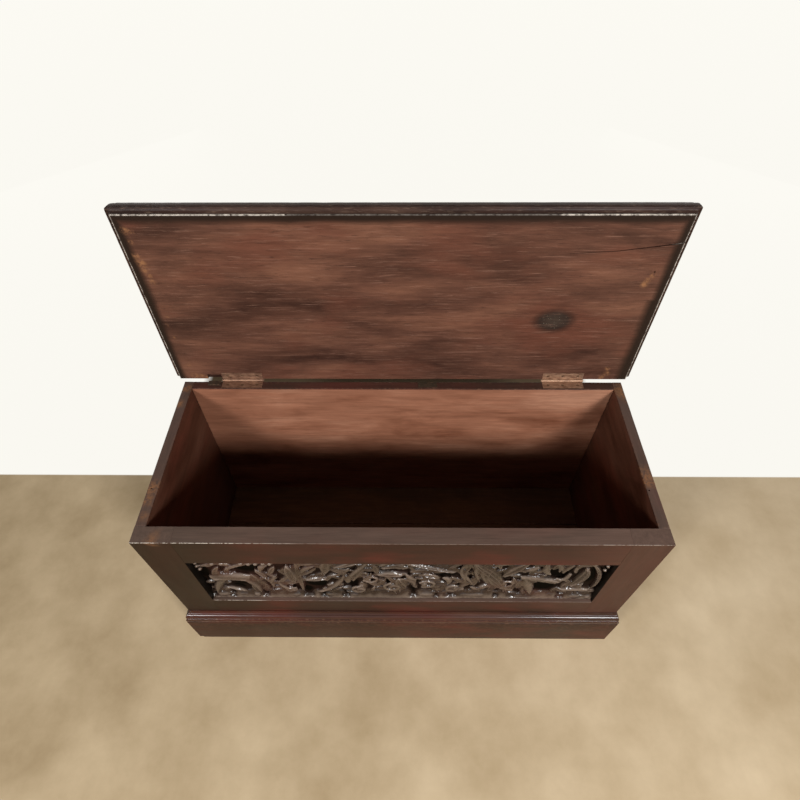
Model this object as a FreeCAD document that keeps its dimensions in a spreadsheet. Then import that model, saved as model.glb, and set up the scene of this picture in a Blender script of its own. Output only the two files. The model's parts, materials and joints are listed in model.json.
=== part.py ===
import FreeCAD, Part
import math
import os
import Sketcher

# Driving dimensions of the chest, in millimetres and, for the lid's opening, degrees
DIMENSIONS = {
    # Carcase
    "body_width": 1195,
    "body_depth": 474,
    "rim_height": 622,
    "front_thickness": 40,
    "end_thickness": 25,
    "back_thickness": 26,
    # Framed front
    "left_stile_width": 90,
    "right_stile_width": 90,
    "top_rail_height": 108,
    "bottom_rail_height": 271,
    "tenon_length": 45,
    "tenon_thickness": 12,
    "tenon_shoulder": 14,
    "tenon_haunch": 2,
    "panel_recess": 7,
    "panel_back_recess": 6,
    "tongue_thickness": 9,
    "groove_depth": 12,
    "joint_clearance": 0.3,
    # Corner dowels
    "dowel_radius": 5,
    "dowel_length": 50,
    "dowel_count": 4,
    "dowel_margin": 70,
    "dowel_clearance": 0.1,
    # Bottom
    "floor_height": 105,
    "bottom_thickness": 20,
    "bottom_board_gap": 0.8,
    "bottom_board_count": 3,
    "bearer_width": 25,
    "bearer_height": 30,
    # Plinth and base moulding
    "plinth_projection": 16,
    "plinth_height": 141,
    "moulding_height": 49,
    # Lid
    "lid_thickness": 39,
    "lid_front_overhang": 15,
    "lid_side_overhang": 12.5,
    "lid_nose": 11.5,
    "lid_clearance": 0.5,
    "lid_open_angle": 92,
    # Hinges
    "hinge_length": 110,
    "leaf_margin": 4,
    "leaf_thickness": 2.5,
    "barrel_radius": 4.5,
    "barrel_clearance": 1,
    "pin_radius": 2,
    "pin_clearance": 0.05,
    "pin_head_radius": 3.6,
    "pin_head_length": 2,
    "knuckle_gap": 0.4,
    "knuckle_count": 5,
    # Hinge screws
    "screw_count": 3,
    "screw_head_radius": 4.2,
    "screw_head_height": 2,
    "screw_radius": 2,
    "screw_length": 20,
    "screw_clearance": 0.1,
    "screw_margin": 15,
    # Repairs to the rear rim
    "patch_width": 52,
    "patch_margin": 6,
    "patch_thickness": 10,
    "patch_offset": 69,
    "filler_width": 34,
    "filler_depth": 14,
    "filler_sink": 12,
    "filler_rise": 4,
    "filler_gap": 4,
    "filler_inset": 42.5,
    "filler_clearance": 2,
    # Small pin holes worn into the end rims and the lid
    "stay_hole_radius": 2.2,
    "stay_hole_depth": 12,
    "stay_hole_setback": 137,
    "lid_stay_inset": 28,
    "lid_stay_reach": 348,
    # How far a cutting tool runs past the face that it cuts
    "overrun": 2,
}


class Size:
    """A length worked out from cells of the sheet: its formula there and its present value."""

    def __init__(self, formula, value):
        self.formula = formula
        self.value = value

    def __add__(self, other):
        return join(self, "+", other, self.value + value_of(other))

    def __sub__(self, other):
        return join(self, "-", other, self.value - value_of(other))

    def __mul__(self, other):
        return join(self, "*", other, self.value * value_of(other))

    def __truediv__(self, other):
        return join(self, "/", other, self.value / value_of(other))

    def __neg__(self):
        return Size(f"(-1 * {self.formula})", -self.value)


def value_of(number):
    return number.value if isinstance(number, Size) else number


def text_of(number):
    return number.formula if isinstance(number, Size) else str(number)


def join(left, sign, right, value):
    return Size(f"({text_of(left)} {sign} {text_of(right)})", value)


def cosine(angle):
    return Size(f"cos({angle.formula})", math.cos(math.radians(angle.value)))


def sine(angle):
    return Size(f"sin({angle.formula})", math.sin(math.radians(angle.value)))


doc = FreeCAD.newDocument("blanket_chest")
sheet = doc.addObject("Spreadsheet::Sheet", "dims")
for row, (alias, number) in enumerate(DIMENSIONS.items(), start=1):
    sheet.set(f"A{row}", alias)
    sheet.set(f"B{row}", str(number))
    sheet.setAlias(f"B{row}", alias)
doc.recompute()


def dim(alias):
    """The size in one cell of the sheet."""
    return Size(f"dims.{alias}", DIMENSIONS[alias])


ZERO = Size("0", 0)
pieces = []


def keep(piece, name):
    """Give a finished piece the name of its node."""
    piece.Label = name
    pieces.append(piece)
    return piece


def place(piece, x, y, z):
    """Tie a piece's place to the sheet."""
    for axis, size in zip("xyz", (x, y, z)):
        piece.setExpression(f"Placement.Base.{axis}", size.formula)
    return piece


def block(name, x_span, y_span, z_span):
    """A sawn block between three pairs of faces."""
    box = doc.addObject("Part::Box", name)
    spans = (x_span, y_span, z_span)
    for side, (low, high) in zip(("Length", "Width", "Height"), spans):
        box.setExpression(side, (high - low).formula)
    return place(box, x_span[0], y_span[0], z_span[0])


def rod(name, radius, length, turn, x, y, z):
    """A round rod that starts at a point and runs along the axis that its turn gives."""
    cylinder = doc.addObject("Part::Cylinder", name)
    cylinder.setExpression("Radius", radius.formula)
    cylinder.setExpression("Height", length.formula)
    cylinder.Placement = FreeCAD.Placement(FreeCAD.Vector(), turn)
    return place(cylinder, x, y, z)


def group(name, members):
    """Separate solids kept together under one name."""
    compound = doc.addObject("Part::Compound", name)
    compound.Links = members
    return compound


def fuse(name, members):
    union = doc.addObject("Part::MultiFuse", name)
    union.Shapes = members
    return union


def cut(name, base, tools):
    result = doc.addObject("Part::Cut", name)
    result.Base = base
    result.Tool = tools[0] if len(tools) == 1 else group(f"{name}_tools", tools)
    return result


ALONG_X = FreeCAD.Rotation(FreeCAD.Vector(0, 1, 0), 90)
ALONG_Y = FreeCAD.Rotation(FreeCAD.Vector(1, 0, 0), -90)
UPWARD = FreeCAD.Rotation()
DOWNWARD = FreeCAD.Rotation(FreeCAD.Vector(1, 0, 0), 180)

# Main planes of the chest. The open lid leans past the back, and the origin is midway between its
# rearmost edge and the plinth's front, on the floor.
half_width = dim("body_width") / 2
inner_half = half_width - dim("end_thickness")
rim = dim("rim_height")
pin_setback = dim("barrel_radius") + dim("barrel_clearance")
lid_reach = dim("body_depth") + dim("lid_front_overhang") + pin_setback
lid_lean = (dim("lid_thickness") + dim("lid_clearance") / 2) * sine(dim("lid_open_angle"))
lid_lean = lid_lean - lid_reach * cosine(dim("lid_open_angle"))
front = (dim("plinth_projection") - dim("body_depth") - pin_setback - lid_lean) / 2
inner_front = front + dim("front_thickness")
rear = front + dim("body_depth")
inner_rear = rear - dim("back_thickness")
pin_y = rear + pin_setback
pin_z = rim + dim("lid_clearance") / 2


# Framed front: two stiles run from floor to rim, two rails are tenoned between them, and all four
# are grooved for the panel's tongue
opening_left = dim("left_stile_width") - half_width
opening_right = half_width - dim("right_stile_width")
opening_low = dim("bottom_rail_height")
opening_high = rim - dim("top_rail_height")
front_middle = front + dim("front_thickness") / 2


def centred(thickness, clearance):
    """A span across the middle of the front's thickness."""
    half = thickness / 2 + clearance
    return (front_middle - half, front_middle + half)


def eased(span, clearance):
    """A span that is opened by a clearance at both ends."""
    low, high = span
    return (low - clearance, high + clearance)


opening_width = (opening_left, opening_right)
tenon_setback = dim("groove_depth") + dim("tenon_haunch")
top_rail_rise = (opening_high, rim)
top_tenon_rise = (opening_high + tenon_setback, rim - dim("tenon_shoulder"))
bottom_rail_rise = (ZERO, opening_low)
bottom_tenon_rise = (dim("tenon_shoulder"), opening_low - tenon_setback)
front_span = (front, inner_front)
tight = ZERO
loose = dim("joint_clearance")
panel_rear = inner_front - dim("panel_back_recess")
panel_ground = panel_rear - dim("tongue_thickness")
groove_span = eased((panel_ground, panel_rear), loose)
groove_rise = (opening_low - dim("groove_depth"), opening_high + dim("groove_depth"))


def rail(name, rise, tenon_rise, groove):
    """A rail between the stiles, with a stub tenon at each end and a groove for the panel."""
    board = block(f"{name}_board", opening_width, front_span, rise)
    tenons = block(f"{name}_tenons", eased(opening_width, dim("tenon_length")),
                   centred(dim("tenon_thickness"), tight), tenon_rise)
    slot = block(f"{name}_groove", eased(opening_width, dim("overrun")), groove_span, groove)
    return keep(cut(name, fuse(f"{name}_blank", [board, tenons]), [slot]), name)


rail("front_top_rail", top_rail_rise, top_tenon_rise, (opening_high - dim("overrun"), groove_rise[1]))
rail("front_bottom_rail", bottom_rail_rise, bottom_tenon_rise,
     (groove_rise[0], opening_low + dim("overrun")))


def sided(side, low, high):
    """A span on the right of the chest, or its mirror image on the left."""
    return (low, high) if side > 0 else (-high, -low)


SIDES = (("left", -1), ("right", 1))


# Corner dowels: one row up each of the four upright joints, half in one board and half in the other
def dowel_levels():
    """Heights of the dowels, spread evenly between the margins."""
    gaps = dim("dowel_count") - 1
    step = (rim - dim("dowel_margin") * 2) / gaps
    return [dim("dowel_margin") + step * index for index in range(DIMENSIONS["dowel_count"])]


def dowel_row(name, clearance, turn, x, y):
    """The dowels of one joint, or the holes for them when there is clearance."""
    rods = []
    start_x = x - clearance if turn == ALONG_X else x
    start_y = y - clearance if turn == ALONG_Y else y
    for number, level in enumerate(dowel_levels(), start=1):
        rods.append(rod(f"{name}_{number}", dim("dowel_radius") + clearance,
                        dim("dowel_length") + clearance * 2, turn, start_x, start_y, level))
    return rods


snug = dim("dowel_clearance")
end_middle = half_width - dim("end_thickness") / 2
back_middle = rear - dim("back_thickness") / 2
front_dowel_y = inner_front - dim("dowel_length") / 2
front_dowels = []
back_dowels = []
front_holes = {}
back_holes = {}
BACK_DOWEL_BITE_SHARE = 0.6
back_dowel_bite = dim("end_thickness") * BACK_DOWEL_BITE_SHARE
for side, sign in SIDES:
    x = end_middle * sign
    front_dowels += dowel_row(f"{side}_front_dowel", tight, ALONG_Y, x, front_dowel_y)
    front_holes[side] = dowel_row(f"{side}_front_hole", snug, ALONG_Y, x, front_dowel_y)
    start = sided(sign, inner_half + back_dowel_bite - dim("dowel_length"),
                  inner_half + back_dowel_bite)[0]
    back_dowels += dowel_row(f"{side}_back_dowel", tight, ALONG_X, start, back_middle)
    back_holes[side] = dowel_row(f"{side}_back_hole", snug, ALONG_X, start, back_middle)
keep(group("front_corner_dowels", front_dowels), "front_corner_dowels")
keep(group("back_corner_dowels", back_dowels), "back_corner_dowels")


def stile(side, sign):
    """An upright of the framed front, mortised for both rails and grooved for the panel."""
    name = f"front_{side}_stile"
    inner_edge = half_width - dim(f"{side}_stile_width")
    board = block(f"{name}_board", sided(sign, inner_edge, half_width), front_span, (ZERO, rim))
    start = inner_edge - dim("overrun")
    mortise_span = sided(sign, start, inner_edge + dim("tenon_length") + loose)
    tools = []
    for level, rise in (("top", top_tenon_rise), ("bottom", bottom_tenon_rise)):
        tools.append(block(f"{name}_{level}_mortise", mortise_span,
                           centred(dim("tenon_thickness"), loose), eased(rise, loose)))
    groove_reach = sided(sign, start, inner_edge + dim("groove_depth"))
    tools.append(block(f"{name}_groove", groove_reach, groove_span, groove_rise))
    return keep(cut(name, board, tools + front_holes[side]), name)


# End boards: each stands behind its stile and runs to the back face, with a small pin hole in its rim
STAY_HOLE_SHARES = {"left": 0.36, "right": 0.76}
stay_y = front + dim("stay_hole_setback")
stay_hole_run = dim("stay_hole_depth") + dim("overrun")


def end_board(side, sign):
    """An end board; the pin hole's share of its thickness is counted from the outside."""
    name = f"{side}_end_board"
    board = block(f"{name}_board", sided(sign, inner_half, half_width), (inner_front, rear), (ZERO, rim))
    hole_x = (half_width - dim("end_thickness") * STAY_HOLE_SHARES[side]) * sign
    hole = rod(f"{name}_stay_hole", dim("stay_hole_radius"), stay_hole_run, DOWNWARD,
               hole_x, stay_y, rim + dim("overrun"))
    return keep(cut(name, board, [hole] + front_holes[side] + back_holes[side]), name)


for side, sign in SIDES:
    stile(side, sign)
    end_board(side, sign)


# Bottom: three boards lie lengthwise on bearers that are fixed round the inside of the carcase
boards_low = dim("floor_height") - dim("bottom_thickness")
bearer_rise = (boards_low - dim("bearer_height"), boards_low)
bottom_half = inner_half - dim("bottom_board_gap")
bottom_pitch = (inner_rear - inner_front - dim("bottom_board_gap")) / dim("bottom_board_count")
for number in range(DIMENSIONS["bottom_board_count"]):
    near = inner_front + dim("bottom_board_gap") + bottom_pitch * number
    far = near + bottom_pitch - dim("bottom_board_gap")
    name = f"bottom_board_{number + 1}"
    keep(block(name, (-bottom_half, bottom_half), (near, far), (boards_low, dim("floor_height"))), name)
bearer_front = inner_front + dim("bearer_width")
bearer_rear = inner_rear - dim("bearer_width")
full_inside = (-inner_half, inner_half)
keep(block("front_bearer", full_inside, (inner_front, bearer_front), bearer_rise), "front_bearer")
keep(block("rear_bearer", full_inside, (bearer_rear, inner_rear), bearer_rise), "rear_bearer")
for side, sign in SIDES:
    across = sided(sign, inner_half - dim("bearer_width"), inner_half)
    keep(block(f"{side}_bearer", across, (bearer_front, bearer_rear), bearer_rise), f"{side}_bearer")


def sketch_on(body, name, role):
    """A sketch on one of the body's own origin planes."""
    sketch = body.newObject("Sketcher::SketchObject", name)
    plane = next(feature for feature in body.Origin.OriginFeatures if feature.Role == role)
    sketch.AttachmentSupport = (plane, [""])
    sketch.MapMode = "FlatFace"
    return sketch


def arc_middle(start, end, radius, swell):
    """The middle of the arc between two points that swells to the left (1) or right (-1) of its chord."""
    chord = end - start
    rise = radius.value - math.sqrt(radius.value ** 2 - chord.Length ** 2 / 4)
    across = FreeCAD.Vector(-chord.y, chord.x, 0).normalize()
    return (start + end) / 2 + across * rise * swell


def hold(sketch, kind, edge, corner, size):
    """Hold one corner at its distance from the sketch's origin, along X or Y."""
    if size is ZERO:
        axis = -2 if kind == "DistanceX" else -1
        sketch.addConstraint(Sketcher.Constraint("PointOnObject", edge, corner, axis))
        return
    number = sketch.addConstraint(Sketcher.Constraint(kind, -1, 1, edge, corner, size.value))
    sketch.setExpression(f"Constraints[{number}]", size.formula)


def outline(sketch, corners):
    """A closed outline. Each corner is held by its two distances, and one that also has a radius and
    a swell is reached by an arc."""
    points = [FreeCAD.Vector(corner[0].value, corner[1].value, 0) for corner in corners]
    edges = []
    for index, corner in enumerate(corners):
        start, end = points[index - 1], points[index]
        if len(corner) == 2:
            curve = Part.LineSegment(start, end)
        else:
            curve = Part.Arc(start, arc_middle(start, end, corner[2], corner[3]), end)
        edge = sketch.addGeometry(curve)
        first_gap = (sketch.getPoint(edge, 1) - start).Length
        second_gap = (sketch.getPoint(edge, 2) - start).Length
        ends = (1, 2) if first_gap < second_gap else (2, 1)
        edges.append((edge, ends))
        if len(corner) > 2:
            number = sketch.addConstraint(Sketcher.Constraint("Radius", edge, corner[2].value))
            sketch.setExpression(f"Constraints[{number}]", corner[2].formula)
    for index, corner in enumerate(corners):
        edge, ends = edges[index]
        after, after_ends = edges[(index + 1) % len(edges)]
        sketch.addConstraint(Sketcher.Constraint("Coincident", edge, ends[1], after, after_ends[0]))
        hold(sketch, "DistanceX", edge, ends[1], corner[0])
        hold(sketch, "DistanceY", edge, ends[1], corner[1])


def rectangle(sketch, x_span, y_span):
    outline(sketch, [(x_span[0], y_span[0]), (x_span[1], y_span[0]),
                     (x_span[1], y_span[1]), (x_span[0], y_span[1])])


def pad(body, sketch, length, symmetric=False):
    feature = body.newObject("PartDesign::Pad", f"{sketch.Name}_pad")
    feature.Profile = sketch
    feature.setExpression("Length", length.formula)
    if symmetric:
        feature.SideType = "Symmetric"
    return feature


def cut_through(body, sketch):
    feature = body.newObject("PartDesign::Pocket", f"{sketch.Name}_cut")
    feature.Profile = sketch
    feature.Type = "ThroughAll"
    feature.SideType = "Symmetric"
    return feature


def body_named(name):
    return doc.addObject("PartDesign::Body", name)


# Plinth: three boards fixed round the foot of the carcase and mitred at the front corners
plinth_half = half_width + dim("plinth_projection")
plinth_front = front - dim("plinth_projection")
plinth = body_named("plinth_front_body")
plan = sketch_on(plinth, "plinth_front_plan", "XY_Plane")
outline(plan, [(-plinth_half, plinth_front), (plinth_half, plinth_front),
               (half_width, front), (-half_width, front)])
pad(plinth, plan, dim("plinth_height"))
keep(plinth, "plinth_front")
for side, sign in SIDES:
    plinth = body_named(f"plinth_{side}_body")
    plan = sketch_on(plinth, f"plinth_{side}_plan", "XY_Plane")
    outline(plan, [(half_width * sign, front), (plinth_half * sign, plinth_front),
                   (plinth_half * sign, rear), (half_width * sign, rear)])
    pad(plinth, plan, dim("plinth_height"))
    keep(plinth, f"plinth_{side}")


# Base moulding: a bead, an ovolo and a cove, one above the other, on top of the plinth boards.
# Outward shares are of the plinth's projection and upward shares of the moulding's height.
BEAD_FOOT_OUT_SHARE = 0.91
BEAD_TOP_OUT_SHARE = 0.85
BEAD_TOP_SHARE = 0.29
BEAD_RADIUS_SHARE = 0.30
OVOLO_FOOT_OUT_SHARE = 0.72
OVOLO_FOOT_SHARE = 0.35
OVOLO_TOP_OUT_SHARE = 0.44
OVOLO_TOP_SHARE = 0.65
OVOLO_RADIUS_SHARE = 0.22
COVE_FOOT_OUT_SHARE = 0.34
COVE_FOOT_SHARE = 0.71
COVE_TOP_OUT_SHARE = 0.09
COVE_TOP_SHARE = 0.96
COVE_RADIUS_SHARE = 0.20


def moulding_section(face, sign):
    """The moulding's section on a carcase face, outward in the direction of the sign."""
    def point(out_share, up_share):
        return (face + dim("plinth_projection") * out_share * sign,
                dim("plinth_height") + dim("moulding_height") * up_share)

    def arc(out_share, up_share, radius_share, swell):
        return point(out_share, up_share) + (dim("moulding_height") * radius_share, swell * sign)

    return [
        point(0, 0),
        point(BEAD_FOOT_OUT_SHARE, 0),
        arc(BEAD_TOP_OUT_SHARE, BEAD_TOP_SHARE, BEAD_RADIUS_SHARE, -1),
        point(OVOLO_FOOT_OUT_SHARE, BEAD_TOP_SHARE),
        point(OVOLO_FOOT_OUT_SHARE, OVOLO_FOOT_SHARE),
        arc(OVOLO_TOP_OUT_SHARE, OVOLO_TOP_SHARE, OVOLO_RADIUS_SHARE, -1),
        point(COVE_FOOT_OUT_SHARE, OVOLO_TOP_SHARE),
        point(COVE_FOOT_OUT_SHARE, COVE_FOOT_SHARE),
        arc(COVE_TOP_OUT_SHARE, COVE_TOP_SHARE, COVE_RADIUS_SHARE, 1),
        point(COVE_TOP_OUT_SHARE, 1),
        point(0, 1),
    ]


past_half = plinth_half + dim("overrun")
past_front = plinth_front - dim("overrun")
moulding = body_named("base_moulding_front_body")
section = sketch_on(moulding, "base_moulding_front_section", "YZ_Plane")
outline(section, moulding_section(front, -1))
pad(moulding, section, plinth_half * 2, symmetric=True)
mitres = sketch_on(moulding, "base_moulding_front_mitres", "XY_Plane")
for side, sign in SIDES:
    behind = front + dim("overrun")
    outline(mitres, [(half_width * sign, front), (past_half * sign, past_front),
                     (past_half * sign, behind), (half_width * sign, behind)])
cut_through(moulding, mitres)
keep(moulding, "base_moulding_front")
for side, sign in SIDES:
    moulding = body_named(f"base_moulding_{side}_body")
    section = sketch_on(moulding, f"base_moulding_{side}_section", "XZ_Plane")
    outline(section, moulding_section(half_width * sign, sign))
    run = pad(moulding, section, -plinth_front)
    run.SideType = "Two sides"
    run.setExpression("Length2", rear.formula)
    mitre = sketch_on(moulding, f"base_moulding_{side}_mitre", "XY_Plane")
    inside = half_width - dim("overrun")
    outline(mitre, [(half_width * sign, front), (past_half * sign, past_front),
                    (inside * sign, past_front), (inside * sign, front)])
    cut_through(moulding, mitre)
    keep(moulding, f"base_moulding_{side}")


# Hinges: each is modelled about its pin with the lid shut. The body leaf lies in the rear rim, the lid
# leaf in the lid's underside, and their knuckles take turns along the pin.
half_gap = dim("lid_clearance") / 2
leaf_width = dim("back_thickness") - dim("leaf_margin")
leaf_far = -(pin_setback + leaf_width)
screw_y = -(pin_setback + leaf_width / 2)
knuckle_pitch = dim("hinge_length") / dim("knuckle_count")
hinge_end = dim("hinge_length") / 2
filler_outer = inner_half - dim("filler_inset")
filler_inner = filler_outer - dim("filler_width")
hinge_offset = filler_inner - dim("filler_gap") - hinge_end


def swing(piece):
    """Turn a piece of the lid, made shut about the pin, to where it stands open."""
    piece.Placement = FreeCAD.Placement(FreeCAD.Vector(), FreeCAD.Rotation(FreeCAD.Vector(-1, 0, 0), 1))
    piece.setExpression("Placement.Rotation.Angle", dim("lid_open_angle").formula)
    return place(piece, ZERO, pin_y, pin_z)


def leaf_blank(name, sign, first_open):
    """A leaf with its rolled knuckles: sign is 1 for the lid's leaf above the pin, -1 for the body's."""
    leaf = body_named(f"{name}_blank")
    plate = sketch_on(leaf, f"{name}_plate", "YZ_Plane")
    outside = (half_gap + dim("leaf_thickness")) * sign
    rectangle(plate, (leaf_far, ZERO), (half_gap * sign, outside))
    pad(leaf, plate, dim("hinge_length"), symmetric=True)
    barrel = sketch_on(leaf, f"{name}_barrel", "YZ_Plane")
    ring(barrel, dim("barrel_radius"))
    pad(leaf, barrel, dim("hinge_length"), symmetric=True)
    slots = sketch_on(leaf, f"{name}_slots", "XY_Plane")
    for number in range(first_open, DIMENSIONS["knuckle_count"], 2):
        low = knuckle_pitch * number - hinge_end - dim("knuckle_gap") / 2
        high = knuckle_pitch * (number + 1) - hinge_end + dim("knuckle_gap") / 2
        rectangle(slots, (low, high), (-(dim("barrel_radius") + dim("knuckle_gap")),
                                       dim("barrel_radius") + dim("overrun")))
    cut_through(leaf, slots)
    bore = sketch_on(leaf, f"{name}_bore", "YZ_Plane")
    ring(bore, dim("pin_radius") + dim("pin_clearance"))
    cut_through(leaf, bore)
    return leaf


def ring(sketch, radius):
    """A circle about the sketch's origin."""
    edge = sketch.addGeometry(Part.Circle(FreeCAD.Vector(), FreeCAD.Vector(0, 0, 1), radius.value))
    sketch.addConstraint(Sketcher.Constraint("Coincident", edge, 3, -1, 1))
    number = sketch.addConstraint(Sketcher.Constraint("Radius", edge, radius.value))
    sketch.setExpression(f"Constraints[{number}]", radius.formula)


def screw(name, clearance, sign, x, y, z):
    """A countersunk screw whose head is flush with a face at a height, or its hole with clearance.
    Its point is up for sign 1 and down for -1."""
    head = doc.addObject("Part::Cone", f"{name}_head")
    head.setExpression("Radius1", (dim("screw_head_radius") + clearance).formula)
    head.setExpression("Radius2", (dim("screw_radius") + clearance).formula)
    head.setExpression("Height", dim("screw_head_height").formula)
    turn = UPWARD if sign > 0 else DOWNWARD
    head.Placement = FreeCAD.Placement(FreeCAD.Vector(), turn)
    place(head, x, y, z)
    shank = rod(f"{name}_shank", dim("screw_radius") + clearance, dim("screw_length") + clearance,
                turn, x, y, z)
    return fuse(name, [head, shank])


def screw_row(name, clearance, sign, x, y, z):
    """The screws of one leaf, spread evenly between its margins."""
    first = x - hinge_end + dim("screw_margin")
    pitch = (dim("hinge_length") - dim("screw_margin") * 2) / (dim("screw_count") - 1)
    row = []
    for number in range(DIMENSIONS["screw_count"]):
        row.append(screw(f"{name}_{number + 1}", clearance, sign, first + pitch * number, y, z))
    return row


rim_tools = []
lid_tools = []
body_screws = []
lid_screws = []
for side, sign in SIDES:
    middle = hinge_offset * sign
    hinge_span = (middle - hinge_end, middle + hinge_end)

    leaf = leaf_blank(f"{side}_hinge_body_leaf", -1, 1)
    place(leaf, middle, pin_y, pin_z)
    seat = (middle, pin_y + screw_y, rim)
    holes = screw_row(f"{side}_body_screw_hole", dim("screw_clearance"), -1, *seat)
    body_screws += screw_row(f"{side}_body_screw", tight, -1, *seat)
    name = f"{side}_hinge_body_leaf"
    keep(cut(name, leaf, holes), name)
    rim_tools += holes
    rim_tools.append(block(f"{side}_rim_mortise", hinge_span,
                           (rear - leaf_width, rear + dim("overrun")),
                           (rim - dim("leaf_thickness"), rim + dim("overrun"))))

    leaf = leaf_blank(f"{side}_hinge_lid_leaf", 1, 0)
    place(leaf, middle, ZERO, ZERO)
    seat = (middle, screw_y, half_gap)
    holes = screw_row(f"{side}_lid_screw_hole", dim("screw_clearance"), 1, *seat)
    lid_screws += screw_row(f"{side}_lid_screw", tight, 1, *seat)
    name = f"{side}_hinge_lid_leaf"
    keep(swing(cut(name, leaf, holes)), name)
    lid_tools += holes
    lid_tools.append(block(f"{side}_lid_mortise", hinge_span,
                           (leaf_far, dim("overrun") - pin_setback),
                           (half_gap - dim("overrun"), half_gap + dim("leaf_thickness"))))

    pin_end = hinge_end + dim("knuckle_gap")
    name = f"{side}_hinge_pin"
    shaft = rod(f"{name}_shaft", dim("pin_radius"), pin_end * 2, ALONG_X, middle - pin_end, pin_y, pin_z)
    heads = [rod(f"{name}_left_head", dim("pin_head_radius"), dim("pin_head_length"), ALONG_X,
                 middle - pin_end - dim("pin_head_length"), pin_y, pin_z),
             rod(f"{name}_right_head", dim("pin_head_radius"), dim("pin_head_length"), ALONG_X,
                 middle + pin_end, pin_y, pin_z)]
    keep(fuse(name, [shaft] + heads), name)
keep(group("hinge_body_screws", body_screws), "hinge_body_screws")
keep(swing(group("hinge_lid_screws", lid_screws)), "hinge_lid_screws")


# Rear rim repairs: a flush patch over an old lock mortise, and a filler block that stands a little
# proud in the mortise of an earlier hinge, beside the left one
patch_x = (dim("patch_offset") - dim("patch_width") / 2, dim("patch_offset") + dim("patch_width") / 2)
patch_y = (inner_rear + dim("patch_margin"), rear)
keep(block("rear_rim_patch", patch_x, patch_y, (rim - dim("patch_thickness"), rim)), "rear_rim_patch")
rim_tools.append(block("patch_mortise", patch_x, (patch_y[0], rear + dim("overrun")),
                       (rim - dim("patch_thickness"), rim + dim("overrun"))))
filler_x = (-filler_outer, -filler_inner)
filler_y = (rear - dim("filler_depth"), rear)
keep(block("rear_rim_filler", filler_x, filler_y, (rim - dim("filler_sink"), rim + dim("filler_rise"))),
     "rear_rim_filler")
rim_tools.append(block("filler_mortise", filler_x, (filler_y[0], rear + dim("overrun")),
                       (rim - dim("filler_sink"), rim + dim("overrun"))))
room = dim("filler_clearance")
lid_tools.append(block("filler_recess", (filler_x[0] - room, filler_x[1] + room),
                       (-(pin_setback + dim("filler_depth") + room), dim("overrun") - pin_setback),
                       (half_gap - dim("overrun"), half_gap + dim("filler_rise") + room)))


# Back board: it fills the space between the end boards and carries the hinges on its top edge
back_blank = block("back_blank", full_inside, (inner_rear, rear), (ZERO, rim))
keep(cut("back_board", back_blank, rim_tools + back_holes["left"] + back_holes["right"]), "back_board")


# Lid: one wide board, flush at the back. Its other three edges are worked with a cove below, a square
# nose, and an ovolo with a small step above. Upward shares are of the lid's thickness, inward shares
# of the nose's projection.
COVE_START_SHARE = 0.05
COVE_END_SHARE = 0.29
NOSE_TOP_SHARE = 0.67
STEP_SHARE = 0.82
LIP_IN_SHARE = 0.13
OVOLO_IN_SHARE = 0.30
STEP_IN_SHARE = 0.43
ROUND_SHARE = 0.53
arris_half = half_width + dim("lid_side_overhang")
nose_half = arris_half + dim("lid_nose")
nose_front = -(lid_reach + dim("lid_nose"))


def lid_edge_waste(arris, sign):
    """The two outlines that are cut from an edge of the lid, below and above its nose."""
    past = dim("lid_nose") + dim("overrun")

    def point(out, up):
        return (arris + out * sign, half_gap + up)

    nose = dim("lid_nose")
    depth = dim("lid_thickness")
    lip = nose * (1 - LIP_IN_SHARE)
    cove_radius = (lip + depth * (COVE_END_SHARE - COVE_START_SHARE)) * ROUND_SHARE
    ovolo_radius = (nose * OVOLO_IN_SHARE + depth * (STEP_SHARE - NOSE_TOP_SHARE)) * ROUND_SHARE
    below = [
        point(ZERO, -dim("overrun")),
        point(ZERO, depth * COVE_START_SHARE),
        point(lip, depth * COVE_END_SHARE) + (cove_radius, sign),
        point(past, depth * COVE_END_SHARE),
        point(past, -dim("overrun")),
    ]
    above = [
        point(past, depth * NOSE_TOP_SHARE),
        point(nose, depth * NOSE_TOP_SHARE),
        point(nose * (1 - OVOLO_IN_SHARE), depth * STEP_SHARE) + (ovolo_radius, -sign),
        point(nose * (1 - STEP_IN_SHARE), depth * STEP_SHARE),
        point(nose * (1 - STEP_IN_SHARE), depth + dim("overrun")),
        point(past, depth + dim("overrun")),
    ]
    return (below, above)


lid = body_named("lid_blank")
lid_section = sketch_on(lid, "lid_section", "YZ_Plane")
rectangle(lid_section, (nose_front, -pin_setback), (half_gap, half_gap + dim("lid_thickness")))
pad(lid, lid_section, nose_half * 2, symmetric=True)
front_waste = sketch_on(lid, "lid_front_waste", "YZ_Plane")
for waste in lid_edge_waste(-lid_reach, -1):
    outline(front_waste, waste)
cut_through(lid, front_waste)
side_waste = sketch_on(lid, "lid_side_waste", "XZ_Plane")
for side, sign in SIDES:
    for waste in lid_edge_waste(arris_half * sign, sign):
        outline(side_waste, waste)
cut_through(lid, side_waste)
lid_stay_y = -(pin_setback + dim("lid_stay_reach"))
lid_tools.append(rod("lid_stay_hole", dim("stay_hole_radius"), stay_hole_run, UPWARD,
                     half_width - dim("lid_stay_inset"), lid_stay_y, half_gap - dim("overrun")))
keep(swing(cut("lid_board", lid, lid_tools)), "lid_board")


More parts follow.
